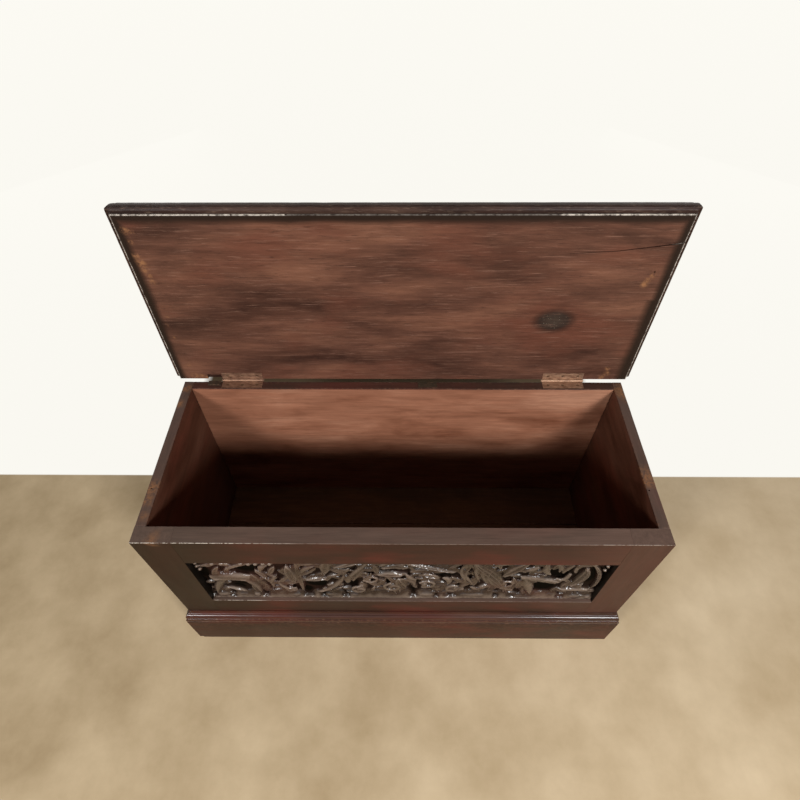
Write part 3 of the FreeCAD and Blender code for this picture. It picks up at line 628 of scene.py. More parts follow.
CHIP_SIZE = Vector((15 * MM, 12 * MM, 12 * MM))
CHIP_PAST = 4 * MM
chip_low = Vector((-half_width - plinth_reach - CHIP_PAST, plinth_low.y - CHIP_PAST, -CHIP_PAST))
plinth_section = eased([(0, 0), (plinth_reach, 0), (plinth_reach, plinth_top), (0, plinth_top)],
                       PLINTH_ARRIS)
for side, ends, finish in RUNS:
    piece = mitred_run(f"plinth_{side}_run", plinth_section, ends)
    if side != "right":
        cut_from(piece, [box_cutter("chip", chip_low, chip_low + CHIP_SIZE)])
    rub_outer(piece, plinth_reach, plinth_top)
    fit_piece(piece, finish, "chest", "stained_wood", f"plinth_{side}")


# Base moulding. A bead, an ovolo and a cove run with moulding planes, mitred at the corners and
# glued on top of the plinth; varnish has pooled in the quirks and the beads catch the light.
MOULDING_HEIGHT = 49 * MM
MOULDING_ARRIS = 0.8 * MM
BEAD_ROUND, OVOLO_ROUND, COVE_ROUND = 0.3 * MOULDING_HEIGHT, 0.22 * MOULDING_HEIGHT, 0.2 * MOULDING_HEIGHT
BEAD_UP = 0.29
ARC_STEPS = 7


def arc(start, end, radius, swell):
    """The points of an arc after its start, that swells left (1) or right (-1) of its chord."""
    start, end = Vector(start), Vector(end)
    chord = end - start
    across = Vector((-chord.y, chord.x)).normalized() * swell
    centre = (start + end) / 2 - across * math.sqrt(radius ** 2 - chord.length_squared / 4)
    half = math.asin(chord.length / 2 / radius)
    along = chord.normalized()
    turns = [half * (2 * step / ARC_STEPS - 1) for step in range(1, ARC_STEPS + 1)]
    return [centre + (across * math.cos(turn) + along * math.sin(turn)) * radius for turn in turns]


def moulding_point(out_share, up_share):
    return Vector((plinth_reach * out_share, plinth_top + MOULDING_HEIGHT * up_share))


BEAD_FOOT, BEAD_TOP = moulding_point(0.91, 0), moulding_point(0.85, BEAD_UP)
OVOLO_FOOT, OVOLO_TOP = moulding_point(0.72, 0.35), moulding_point(0.44, 0.65)
COVE_FOOT, COVE_TOP = moulding_point(0.34, 0.71), moulding_point(0.09, 0.96)
moulding_section = [
    moulding_point(0, 0), BEAD_FOOT, *arc(BEAD_FOOT, BEAD_TOP, BEAD_ROUND, -1),
    moulding_point(0.72, BEAD_UP), OVOLO_FOOT, *arc(OVOLO_FOOT, OVOLO_TOP, OVOLO_ROUND, -1),
    moulding_point(0.34, 0.65), COVE_FOOT, *arc(COVE_FOOT, COVE_TOP, COVE_ROUND, 1),
    moulding_point(0.09, 1), moulding_point(0, 1),
]
MOULDING_GLOSS = (0.16, 0.28)
MOULDING_TONES = (colour(46, 23, 17), colour(64, 35, 27), colour(80, 48, 38))
MOULDING_SPECULAR = 0.35
moulding_across, moulding_endwise = [
    stained_wood(f"moulding_grain_{name}", grain, MOULDING_TONES, STAIN_FLUSH, MOULDING_GLOSS,
                 MOULDING_SPECULAR)
    for name, grain in (("across", "X"), ("endwise", "Y"))]
for side, ends, _ in RUNS:
    piece = mitred_run(f"base_moulding_{side}_run", eased(moulding_section, MOULDING_ARRIS), ends)
    rub_outer(piece, plinth_reach, plinth_top + MOULDING_HEIGHT * BEAD_UP)
    finish = moulding_across if side == "front" else moulding_endwise
    fit_piece(piece, finish, "chest", "stained_wood", f"base_moulding_{side}")


# Rear rim repairs. A thin patch is let in flush over an old lock mortise, and a block fills the
# mortise of an earlier hinge. Plain deal, brushed with brown stain.
REPAIR_TONES = (colour(44, 32, 24), colour(60, 46, 36), colour(76, 62, 50))
REPAIR_FLUSH = colour(66, 58, 46)
REPAIR_GLOSS = (0.5, 0.65)
REPAIR_ARRIS = 0.7 * MM
REPAIR_CELL = 8 * MM
REPAIR_RUB = 2 * MM
repair_wood = stained_wood("repair_wood", "X", REPAIR_TONES, REPAIR_FLUSH, REPAIR_GLOSS)
for node in ("rear_rim_patch", "rear_rim_filler"):
    low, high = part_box(node)
    piece = board(f"{node}_worn", low, high, REPAIR_ARRIS, REPAIR_CELL)
    rub_arrises(piece, low, high, REPAIR_RUB)
    fit_piece(piece, repair_wood, "chest", "repair_wood", node)


# Hinges. Two brass butt hinges, their leaves let in flush, tarnished and smeared with old varnish,
# each held by three slotted countersunk screws a side.
TARNISH_CELLS = (55, 140, 140)
BRASS_SCRATCH_CELLS = (40, 1500, 1500)
BRASS_GLOSS = (0.4, 0.6)
BRASS_METAL = 0.55
SCRATCH_RELIEF = (0.3, 0.1 * MM)
SCRATCH_MIX = 0.35


def tarnished_brass(name, tones):
    material, tree, shader = new_finish(name)
    cloud = grain_noise(tree, TARNISH_CELLS, 6, 0.65)
    surface = ramp(tree, cloud, list(zip((0.3, 0.5, 0.7), tones)))
    scratch = grain_noise(tree, BRASS_SCRATCH_CELLS, 3, 0.6)
    scratch_tone = ramp(tree, scratch, [(0.3, FIBRE_DARK), (0.7, FIBRE_LIGHT)])
    surface = laid_over(tree, SCRATCH_MIX, surface, scratch_tone, "MULTIPLY")
    tree.links.new(surface, shader.inputs["Base Color"])
    tree.links.new(spread(tree, cloud, 0.3, 0.7, *BRASS_GLOSS), shader.inputs["Roughness"])
    shader.inputs["Metallic"].default_value = BRASS_METAL
    raise_grain(tree, shader, scratch, *SCRATCH_RELIEF)
    return material


LEAF_TONES = {
    "left": (colour(94, 66, 51), colour(138, 104, 84), colour(168, 132, 106)),
    "right": (colour(110, 80, 62), colour(154, 120, 97), colour(184, 149, 122)),
}
SCREW_TONES = (colour(72, 50, 38), colour(112, 84, 64), colour(140, 108, 84))
leaf_brass = {side: tarnished_brass(f"{side}_leaf_brass", tones) for side, tones in LEAF_TONES.items()}
screw_brass = tarnished_brass("screw_brass", SCREW_TONES)
for side in HINGE_SIDES:
    for part in ("body_leaf", "lid_leaf", "pin"):
        refinish(f"{side}_hinge_{part}", leaf_brass[side])


SCREW_SIDES = 18


def turned_screw(name, profile):
    """A turned piece about a line down from its top: a profile of (radius, depth) in millimetres."""
    points = []
    for radius, depth in profile:
        for side in range(SCREW_SIDES):
            turn = math.tau * side / SCREW_SIDES
            points.append(Vector((radius * math.cos(turn), radius * math.sin(turn), -depth)) * MM)
    return mesh_piece(name, points, [face[::-1] for face in skin(len(profile), SCREW_SIDES)])


SCREW_PROFILE = ((3.9, 0.05), (4.15, 0.25), (2, 2.1), (2, 17), (0.5, 20))
SLOT_REACH = 4.98 * MM
SLOT_WIDTH, SLOT_DEPTH = 0.9 * MM, 0.7 * MM
SLOT_START, SLOT_TURN = 20, 37
SCREW_MARGIN = 15 * MM
LEAF_WIDTH = 22 * MM


def slotted_screws(name, seat):
    """The six screws of the leaves on one body. Seat gives the frame of a screw's head from its X."""
    meshes = []
    for side in HINGE_SIDES:
        low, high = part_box(f"{side}_hinge_body_leaf")
        ends = (low.x + SCREW_MARGIN, high.x - SCREW_MARGIN)
        for number, x in enumerate((ends[0], (ends[0] + ends[1]) / 2, ends[1])):
            screw = turned_screw(f"{name}_{side}_{number}", SCREW_PROFILE)
            slot_half = Vector((SLOT_REACH, SLOT_WIDTH / 2, SLOT_DEPTH))
            cut_from(screw, [box_cutter("slot", -slot_half, slot_half)])
            slot_turn = math.radians(SLOT_START + SLOT_TURN * number)
            screw.data.transform(seat(x) @ Matrix.Rotation(slot_turn, 4, "Z"))
            meshes.append(screw)
    return join_pieces(name, meshes)


def join_pieces(name, members):
    """Several loose pieces made one."""
    points, faces = [], []
    for member in members:
        start = len(points)
        points += [tuple(vertex.co) for vertex in member.data.vertices]
        faces += [tuple(start + number for number in face.vertices) for face in member.data.polygons]
        mesh = member.data
        bpy.data.objects.remove(member)
        bpy.data.meshes.remove(mesh)
    return mesh_piece(name, points, faces)


_, pin_y, pin_z = sum(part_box("left_hinge_pin"), Vector()) / 2
screw_y = rear_y - LEAF_WIDTH / 2
screws = slotted_screws("hinge_body_screws_slotted", lambda x: Matrix.Translation((x, screw_y, rim)))
fit_piece(screws, screw_brass, "chest", "screw_brass", "hinge_body_screws")


# Carved panel. One board carved in deep relief, its edges in the grooves of the frame: two arched
# beasts at the ends among leaves, buds and feathers. Stained black-brown and varnished to a gloss.
GROUND_THICKNESS = 9 * MM
CARVING_DEPTH = 18 * MM
CARVING_VOXEL = 1.7 * MM
CARVING_ROOT = 3 * MM
FRAME_GAP = 0.4 * MM
RING_SIDES = 12
FORM_STEPS, FORM_SIDES = 26, 24
FORM_RISE = 1.15
FORM_STEEPNESS, FORM_LEAST = 0.8, 5 * MM
DOME = 0.55
RIDGE_DEPTH = 0.34
panel_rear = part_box("front_carved_panel")[1].y
ground_y = panel_rear - GROUND_THICKNESS
carving_points, carving_faces = [], []


def add_rings(rings):
    """Skin a row of rings and close both ends."""
    carving_faces.extend(skin(len(rings), len(rings[0]), len(carving_points)))
    for ring in rings:
        carving_points.extend(ring)


def in_opening(across, up):
    """A place in the opening from its shares of the width and the height."""
    return Vector((opening_left + (opening_right - opening_left) * across,
                   opening_low + (opening_high - opening_low) * up))


def carved_form(base, tip, left_round, right_round, height, ridges, slant,
                steps=FORM_STEPS, sides=FORM_SIDES):
    """A form between two curved sides, domed, with ridges that run along it or slant across."""
    run = tip - base
    unit = run.normalized()
    left_way = Vector((-unit.y, unit.x))

    def side_point(round_share, t, way):
        if round_share == 0:
            return base + run * t
        radius = (abs(run.x) + abs(run.y)) * abs(round_share)
        half = math.asin(min(1, run.length / 2 / radius))
        turn = half * (2 * t - 1)
        swell = radius * (math.cos(turn) - math.cos(half))
        return base + unit * (run.length / 2 + radius * math.sin(turn)) + left_way * swell * way

    rings = []
    for step in range(steps + 1):
        t = step / steps
        left = side_point(left_round, t, 1)
        right = side_point(right_round, t, -1 if right_round >= 0 else 1)
        width = (left - right).length
        crest = min(height * CARVING_DEPTH * FORM_RISE, width * FORM_STEEPNESS + FORM_LEAST)
        ring = [(left.x, ground_y + CARVING_ROOT, left.y)]
        for number in range(sides + 1):
            s = number / sides
            place = left.lerp(right, s)
            dome = (1 - (2 * s - 1) ** 2) ** DOME
            groove = 0.5 - 0.5 * math.cos(math.tau * (ridges * s + slant * t)) if ridges else 1
            lift = crest * dome * (1 - RIDGE_DEPTH + RIDGE_DEPTH * groove)
            ring.append((place.x, ground_y - lift, place.y))
        ring.append((right.x, ground_y + CARVING_ROOT, right.y))
        rings.append(ring)
    add_rings(rings)


# Main forms: base and tip as shares of the opening, rounding of both sides, height, ridges, slant
CARVED_FORMS = (
    # Left beast with its tail over it, and the leaves beside it
    (0.018, 0.04, 0.086, 0.585, 0.5, 0, 0.74, 0, 0), (0.016, 0.45, 0.128, 0.44, 0.62, 0, 0.84, 0, 0),
    (0.074, 0.595, 0.132, 0.04, 0.5, -1.7, 0.72, 0, 0), (0.036, 0.22, 0.102, 0.05, 0.5, -1.2, 0.7, 0, 0),
    (0.01, 0.02, 0.06, 0.03, 0.5, 0, 0.65, 3, 0), (0.056, 0.6, 0.194, 0.86, 0.55, -1.06, 0.62, 2, 0),
    (0.14, 0.525, 0.162, 0.14, 0.5, -0.85, 0.62, 2, 0), (0.23, 0.355, 0.222, 0.79, 0.66, 0.66, 0.76, 2, 0),
    (0.244, 0.03, 0.246, 0.945, 2.67, 2.67, 0.58, 2, 0), (0.256, 0.45, 0.316, 0.485, 0.5, 0.5, 0.72, 3, 1),
    (0.358, 0.64, 0.268, 0.075, 0.5, -1.06, 0.66, 0, 0), (0.31, 0.585, 0.322, 0.93, 0.57, 0.57, 0.64, 2, 0),
    # Leaves, buds and feathers of the middle
    (0.33, 0.755, 0.403, 0.895, 0.55, 0.55, 0.7, 3, 1), (0.403, 0.02, 0.399, 0.31, 0.5, 0.75, 0.72, 2, 0),
    (0.435, 0.595, 0.507, 0.57, 0.6, 0.6, 0.7, 2, 0), (0.445, 0.73, 0.515, 0.85, 0.62, 0.62, 0.64, 2, 0),
    (0.487, 0.04, 0.495, 0.49, 0.55, 0.55, 0.74, 3, 2), (0.499, 0.92, 0.64, 0.655, 0.78, 0.78, 0.8, 4, 0),
    (0.605, 0.72, 0.653, 0.92, 0.5, 0.5, 0.6, 4, 0), (0.549, 0.5, 0.601, 0.465, 0.5, -1.47, 0.66, 1, 0),
    (0.547, 0.245, 0.599, 0.28, 0.5, 0.5, 0.62, 3, 2), (0.611, 0.2, 0.663, 0.218, 0.5, 0.5, 0.66, 2, 0),
    (0.667, 0.92, 0.763, 0.185, 0.64, 0.64, 0.7, 6, 1),
    # Right beast with its tail, and the leaves beside it
    (0.747, 0.525, 0.806, 0.92, 0.58, 0.58, 0.7, 2, 0), (0.859, 0.605, 0.841, 0.92, 0.77, 0.77, 0.64, 2, 0),
    (0.837, 0.055, 0.805, 0.545, 0.75, 0.75, 0.72, 0, 0), (0.8, 0.49, 0.908, 0.4, 0.62, 0, 0.78, 0, 0),
    (0.943, 0.78, 0.921, 0.285, 0.5, 0, 0.74, 3, 0), (0.898, 0.218, 0.99, 0.218, 1.1, 1.1, 0.7, 0, 0),
    (0.938, 0.927, 0.98, 0.15, 0.62, -1.02, 0.62, 2, 0), (0.943, 0.02, 0.993, 0.03, 0.5, 0, 0.7, 3, 0),
    (0.869, 0.02, 0.917, 0.03, 0.5, 0, 0.62, 2, 0),
)
for base_across, base_up, tip_across, tip_up, *shape in CARVED_FORMS:
    carved_form(in_opening(base_across, base_up), in_opening(tip_across, tip_up), *shape)

# Bank of rough ground along the foot, which slopes out over the ledge of the frame and has hollows
BANK_HOLLOWS = ((-500, 8), (-450, 8), (-362, 8), (-248, 13), (-203, 11), (-148, 9), (31, 10), (92, 6),
                (130, 15), (250, 6), (312, 24), (420, 8), (463, 7))
BANK_SECTION = ((-4, 17.5), (3, 17.3), (8, 15.5), (14, 12.5), (22, 8.5), (31, 3))
BANK_STEP = 3 * MM
BANK_FOOT, BANK_HEAD = -4, 34
BANK_LIMIT = 17.6
HOLLOW_SINK, HOLLOW_RUN = 0.95, 8
rings = []
for x in np.arange(opening_left - CARVING_ROOT, opening_right + CARVING_ROOT, BANK_STEP):
    hollow = max(math.exp(-((x / MM - centre) / half) ** 2) for centre, half in BANK_HOLLOWS)
    swell = 1 + 0.45 * noise.noise(Vector((x * 18, 3, 0))) + 0.25 * noise.noise(Vector((x * 60, 7, 0)))
    ring = [(x, ground_y + CARVING_ROOT, opening_low + BANK_FOOT * MM)]
    for up, lift in BANK_SECTION:
        sunk = lift * (1 - hollow * min(1, max(0, up) / HOLLOW_RUN) * HOLLOW_SINK)
        lift = min(sunk * (0.9 + 0.1 * swell), BANK_LIMIT)
        ring.append((x, ground_y - lift * MM, opening_low + up * swell * MM))
    ring.append((x, ground_y + CARVING_ROOT, opening_low + BANK_HEAD * swell * MM))
    rings.append(ring)
add_rings(rings)


def smooth_path(knots, steps=6):
    """Points of a smooth line through knots of (x, z, radius, crest)."""
    knots = [np.array(knot, float) for knot in knots]
    line = []
    for number in range(len(knots) - 1):
        a = knots[max(0, number - 1)]
        b, c = knots[number], knots[number + 1]
        d = knots[min(len(knots) - 1, number + 2)]
        for step in range(steps):
            t = step / steps
            line.append(0.5 * (2 * b + (c - a) * t + (2 * a - 5 * b + 4 * c - d) * t * t
                               + (3 * b - a - 3 * c + d) * t ** 3))
    line.append(knots[-1])
    return line


def stem(knots, flat=0.9):
    """A round stem carved along a line of (x, z, radius, crest), all in millimetres."""
    line = smooth_path(knots)
    rings = []
    for number, (x, z, radius, crest) in enumerate(line):
        before, after = line[max(0, number - 1)], line[min(len(line) - 1, number + 1)]
        run = Vector((after[0] - before[0], after[1] - before[1])).normalized()
        ring = []
        for side in range(RING_SIDES):
            turn = math.tau * side / RING_SIDES
            across, out = math.cos(turn) * radius, (math.sin(turn) - 1) * radius * flat
            ring.append(((x - run.y * across) * MM, ground_y - (crest + out) * MM, (z + run.x * across) * MM))
        rings.append(ring)
    add_rings(rings)


def leaflet(x, z, length, width, turn, crest, bend=0.0):
    """A small pointed leaf from a place, turned by degrees from the right."""
    turn = math.radians(turn)
    along = Vector((math.cos(turn), math.sin(turn)))
    aside = Vector((-along.y, along.x))
    knots = []
    for t, share in ((0, 0.3), (0.25, 0.8), (0.5, 1), (0.75, 0.75), (1, 0.1)):
        place = Vector((x, z)) + along * length * t + aside * bend * length * math.sin(math.pi * t)
        knots.append((place.x, place.y, width / 2 * share, crest - 3 * abs(t - 0.5)))
    stem(knots, 0.75)


def scroll(x, z, size, turns, start, radius, crest, way=1):
    """A curl of stem that winds in to a round end."""
    knots = []
    for step in range(9):
        t = step / 8
        reach = size * (1 - 0.78 * t)
        turn = math.radians(start) + way * math.tau * turns * t
        knots.append((x + reach * math.cos(turn), z + reach * math.sin(turn),
                      radius * (0.7 + 0.5 * t), crest))
    stem(knots)


PEARL_SHAPE = ((-1, 0.3, 1), (-0.6, 0.8, 0.2), (0, 1, 0), (0.6, 0.8, 0.2), (1, 0.3, 1))


def pearl(x, z, radius, crest):
    stem([(x + radius * across, z, radius * share, crest - radius * drop)
          for across, share, drop in PEARL_SHAPE])


def stone(x, z, width, radius, crest):
    """A smooth lying lump, as of a paw or a rock at the foot of the carving."""
    stem([(x - width / 2, z, radius * 0.5, crest - 3), (x - width / 4, z, radius * 0.95, crest),
          (x + width / 4, z, radius, crest), (x + width / 2, z, radius * 0.5, crest - 3)])


# Paws and rocks along the foot of the carving, which hide the ledge of the frame
for x, up, width, radius, crest in (
        (-477, 12, 30, 14, 16), (-424, 6, 50, 13, 14), (-385, 13, 18, 14, 17), (-340, 5, 22, 11, 14),
        (-322, 7, 16, 9, 15.5), (-290, 7, 44, 15, 16), (-224, 5, 14, 10, 13), (-185, 9, 38, 15, 15),
        (-112, 6, 54, 13, 15), (-50, 5, 64, 13, 14), (2, 5, 28, 11, 13), (66, 9, 44, 15, 15),
        (112, 3, 28, 9, 12), (190, 9, 74, 17, 15.5), (236, 5, 12, 9, 13), (270, 5, 22, 10, 15.5),
        (318, 3, 46, 9, 13), (384, 6, 66, 14, 14), (458, 7, 44, 14, 16), (494, 7, 18, 11, 17)):
    stone(x, opening_low / MM + up, width, radius, crest)

# Backs of the two beasts, and the row of pearls above the left one
stem([(-484, 386, 12, 12), (-452, 398, 18, 15.5), (-416, 402, 17, 17), (-384, 392, 13, 14)], 0.6)
stem([(300, 396, 10, 13), (330, 398, 13, 16), (362, 386, 13, 16), (394, 370, 9, 14)], 0.7)
for x in (-456, -434, -421, -387, -368, -351, -333, -317):
    pearl(x, 482, 7, 17)
for x, z in ((-499, 478), (-500, 460), (-497, 442), (499, 468), (497, 446)):
    pearl(x, z, 5.5, 13)

# Leaves, curls and stems between the main forms
LEAFLETS = (
    (-350, 428, 44, 20, 58, 12, 0.15), (-338, 352, 52, 12, 68, 12), (-306, 296, 32, 18, 205, 12),
    (-250, 424, 54, 20, 46, 13, 0.1), (-246, 468, 46, 20, 30, 12, -0.1), (-170, 448, 58, 14, 346, 10, -0.1),
    (-52, 464, 62, 16, 24, 13, 0.15), (-2, 386, 58, 20, 308, 13, 0.2), (14, 414, 40, 17, 306, 14, -0.15),
    (104, 396, 46, 22, 288, 13, 0.2), (96, 326, 34, 15, 263, 10), (150, 322, 54, 20, 49, 11, 0.1),
    (206, 306, 40, 17, 137, 11), (226, 464, 54, 20, 22, 12, 0.1), (292, 440, 50, 22, 28, 13, -0.1),
    (370, 418, 56, 20, 108, 13, 0.15), (388, 434, 52, 16, 107, 12, -0.15), (252, 360, 42, 18, 254, 11, 0.1),
    (262, 346, 46, 22, 311, 13, -0.15), (400, 424, 52, 20, 67, 11, 0.1), (408, 310, 36, 17, 331, 11, 0.1),
)
SCROLLS = (
    (-110, 318, 22, 1.2, 80, 6, 15), (-78, 386, 22, 1.2, 200, 5, 13), (-92, 416, 17, 1.1, 20, 4, 12, -1),
    (-22, 340, 26, 1.3, 100, 6, 16), (66, 352, 24, 1.15, 150, 6, 14, -1), (134, 324, 22, 1.05, 60, 7, 14),
    (270, 358, 20, 1.1, 250, 5, 12),
)
STEMS = (
    ((-206, 320, 6, 11), (-190, 304, 6.5, 12), (-174, 284, 6.5, 12)),
    ((-140, 362, 6, 11), (-128, 402, 8, 13), (-112, 432, 7, 13), (-92, 464, 6, 12), (-78, 496, 5, 11)),
    ((-124, 370, 4, 10), (-112, 404, 5, 13), (-98, 434, 4, 12), (-86, 450, 3, 10)),
    ((44, 404, 4, 10), (60, 418, 5, 14), (82, 412, 5, 14), (94, 392, 4, 11)),
    ((388, 392, 5, 12), (404, 388, 6, 14), (414, 398, 6, 14), (420, 420, 5, 11)),
)
for leaf in LEAFLETS:
    leaflet(*leaf)
for curl in SCROLLS:
    scroll(*curl)
for knots in STEMS:
    stem(knots)
for drop in (0, 13, 26):
    stem([(-320 + drop * 0.3, 366 - drop, 2.5, 9), (-310 + drop * 0.3, 340 - drop * 0.7, 4.5, 14),
          (-294, 324 - drop * 0.7, 4.5, 14), (-274, 322 - drop * 0.6, 2.5, 10)])
for x, z, sway in ((152, 470, 12), (166, 452, 16), (186, 476, 10), (204, 462, 14), (222, 440, 16)):
    stem([(x, z, 3, 10), (x - sway * 0.4, z - 36, 5, 14), (x + sway * 0.5, z - 76, 5, 14),
          (x + sway * 1.4, z - 112, 2.5, 9)])

# Undergrowth of small leaves, but for the hollows that are cut down to the ground
HOLLOWS = ((-382, 444, 32, 30), (-410, 356, 28, 26), (-288, 482, 18, 18), (-218, 336, 28, 18),
           (-252, 300, 14, 16), (-132, 346, 20, 16), (-20, 434, 24, 10), (34, 300, 12, 16),
           (372, 342, 28, 40), (396, 414, 24, 32), (478, 400, 13, 40), (503, 400, 8, 80),
           (112, 400, 24, 12), (250, 382, 18, 18), (-430, 312, 14, 20), (-498, 420, 12, 40))
HOLLOW_MARGIN = 14
LEAF_STEPS, LEAF_SIDES = 12, 14
LEAF_COLUMNS, LEAF_ROWS = 37, 8
LEAF_LEFT, LEAF_ACROSS = -488, 27
LEAF_LOW, LEAF_UP = 290, 29
LEAF_STRAY = 9
undergrowth = random.Random(8)


def small_leaf(x, z, length, turn, fullness, height):
    """A small leaf with a midrib, about a place in millimetres, turned by degrees from the right."""
    turn = math.radians(turn)
    half = Vector((math.cos(turn), math.sin(turn))) * length / 2
    base, tip = [Vector(((x + half.x * way) * MM, (z + half.y * way) * MM)) for way in (-1, 1)]
    carved_form(base, tip, fullness, fullness, height, 2, 0, LEAF_STEPS, LEAF_SIDES)


def in_hollow(x, z):
    return any(((x - a) / (c + HOLLOW_MARGIN)) ** 2 + ((z - b) / (d + HOLLOW_MARGIN)) ** 2 < 1
               for a, b, c, d in HOLLOWS)


for column in range(LEAF_COLUMNS):
    for row in range(LEAF_ROWS):
        x = LEAF_LEFT + column * LEAF_ACROSS + undergrowth.uniform(-LEAF_STRAY, LEAF_STRAY)
        z = LEAF_LOW + row * LEAF_UP + undergrowth.uniform(-LEAF_STRAY, LEAF_STRAY)
        length, fullness = undergrowth.uniform(38, 62), undergrowth.uniform(0.52, 0.62)
        turn, height = undergrowth.uniform(0, 360), undergrowth.uniform(0.42, 0.62)
        if not in_hollow(x, z):
            small_leaf(x, z, length, turn, fullness, height)

low = Vector((opening_left + FRAME_GAP, ground_y - CARVING_DEPTH, opening_low + FRAME_GAP))
high = Vector((opening_right - FRAME_GAP, panel_rear, opening_high - FRAME_GAP))
ground = box_cutter("ground", (low.x, ground_y, low.z), high)
forms = mesh_piece("forms", np.clip(np.array(carving_points), low, high), carving_faces)
carving = join_pieces("front_carved_panel_relief", [forms, ground])
voxels = carving.modifiers.new("voxels", "REMESH")
voxels.mode = "VOXEL"
voxels.voxel_size = CARVING_VOXEL
bpy.context.view_layer.update()
solid, carving.data = carving.data, bpy.data.meshes.new_from_object(
    carving.evaluated_get(bpy.context.evaluated_depsgraph_get()))
carving.modifiers.clear()
bpy.data.meshes.remove(solid)
GOUGE_DEPTH = 0.8 * MM
GOUGE_LIFT = 2 * MM


def gouge_mark(point):
    """How deep the gouge has bitten at a place, from 0 up; the ground is left as it was sawn."""
    if point.y >= ground_y - GOUGE_LIFT:
        return 0
    return abs(noise.noise(point * 120) + 0.6 * noise.noise(point * 260))


size = len(carving.data.vertices) * 3
place, normal = np.empty(size), np.empty(size)
carving.data.vertices.foreach_get("co", place)
carving.data.vertices.foreach_get("normal", normal)
place, normal = place.reshape(-1, 3), normal.reshape(-1, 3)
marks = np.array([gouge_mark(Vector(point)) for point in place])
place = np.clip(place - normal * marks[:, None] * GOUGE_DEPTH, low, high)
carving.data.vertices.foreach_set("co", place.ravel())
carving.data.update()
carving.data.shade_smooth()

# Painted shade darkens the hollows, partly as stain pooled there, and a painted highlight lightens the
# crests: each point against the mean around it
MAP_CELL = 1.5 * MM
AROUND = 7
MEAN_WEIGHTS = np.full(AROUND * 2 + 1, 1 / (AROUND * 2 + 1))
HOLLOW_LIFT = 6 * MM
STAND, STAND_RUN = 1 * MM, 4 * MM
lift = ground_y - place[:, 1]
column = ((place[:, 0] - low.x) / MAP_CELL).astype(int)
row = ((place[:, 2] - low.z) / MAP_CELL).astype(int)
heights = np.zeros((column.max() + 1, row.max() + 1))
np.maximum.at(heights, (column, row), lift)
mean = heights
for axis in (0, 1, 0, 1):
    mean = np.apply_along_axis(
        lambda line: np.convolve(np.pad(line, AROUND, "edge"), MEAN_WEIGHTS, "valid"), axis, mean)
over = lift - mean[column, row]
hollow = np.clip(np.maximum(1.1 - lift / HOLLOW_LIFT, (-over - STAND) / STAND_RUN), 0, 1)
cut_deep = np.zeros(len(place))
for x, z, half_across, half_up in HOLLOWS:
    gap = ((place[:, 0] / MM - x) / half_across) ** 2 + ((place[:, 2] / MM - z) / half_up) ** 2
    cut_deep = np.maximum(cut_deep, np.clip(1.8 - gap, 0, 1))
hollow *= 0.7 + 0.3 * cut_deep
# Painted shade in the hollows, partly pooled stain
store(carving, "hollow", hollow)
carving.data.vertices.foreach_get("normal", normal.reshape(-1))
# The painted highlight on the crests is stronger where they face up towards the lamps
lit_from_above = np.clip(0.25 + 1.4 * normal[:, 2], 0, 1)
store(carving, "crest", np.clip((over - STAND) / STAND_RUN, 0, 1) * lit_from_above)
CREST_HIGHLIGHT_MIX = 0.7
CARVED_GLOSS = (0.2, 0.8)
CARVED_SPECULAR, HOLLOW_SPECULAR = 0.36, 0.02
CARVED_RELIEF = (0.3, 1.5 * MM)
CARVED_FLUSH = colour(70, 44, 36)
CARVED_TONES = (colour(34, 24, 18), colour(50, 36, 29), colour(66, 50, 41))
HOLLOW_SHADE_TONE = colour(10, 7, 4)
CREST_HIGHLIGHT_TONE = colour(143, 125, 111)


def carved_wood_finish(name, specular):
    """Black-brown varnish, glossy on the high places, with a painted highlight on the crests and painted
    black shade in the hollows, partly pooled stain.
    """
    material, tree, shader = new_finish(name)
    surface, cloud = mottled(tree, "X", CARVED_TONES, CARVED_FLUSH)
    surface, _ = grained(tree, surface, "X")
    hollow = painted(tree, "hollow")
    # Painted highlight on the crests
    surface = laid_over(tree, times(tree, painted(tree, "crest"), CREST_HIGHLIGHT_MIX), surface, CREST_HIGHLIGHT_TONE)
    surface = laid_over(tree, hollow, surface, HOLLOW_SHADE_TONE)
    tree.links.new(surface, shader.inputs["Base Color"])
    tree.links.new(spread(tree, hollow, 0, 1, *CARVED_GLOSS), shader.inputs["Roughness"])
    shader.inputs["Specular IOR Level"].default_value = specular
    raise_grain(tree, shader, cloud, *CARVED_RELIEF)
    return material


carved_wood = carved_wood_finish("carved_wood", CARVED_SPECULAR)
fit_piece(carving, carved_wood, "chest", "carved_wood", "front_carved_panel")
carving.data.materials.append(carved_wood_finish("carved_hollows_shade", HOLLOW_SPECULAR))
# Faces deep in the painted shade get a copy of the finish with almost no reflection, so they stay black
HOLLOW_LINE = 0.45
painted_black_shade = [max(hollow[number] for number in face.vertices) > HOLLOW_LINE for face in carving.data.polygons]
carving.data.polygons.foreach_set("material_index", np.array(painted_black_shade, int))


# Lid. One wide board with a cove, a bead and a step worked round three edges and a rounded front
# left corner. Its underside is thinly stained and shows a knot, a shake and old wear at both ends.
lid_turn = math.radians(frame["joints"][0]["range_deg"][1])
LID_THICKNESS = 39 * MM
LID_FRONT_OVERHANG = 15 * MM
LID_SIDE_OVERHANG = 12.5 * MM
LID_GAP = pin_z - rim
LID_CELL = 5 * MM
LID_CREASE = 30
UPPER_CORNER = {-1: 15 * MM, 1: 7 * MM}
LOWER_CORNER = 1.5 * MM
lid_setback = pin_y - rear_y
arris_half = half_width + LID_SIDE_OVERHANG
arris_front = rear_y - front_y + LID_FRONT_OVERHANG


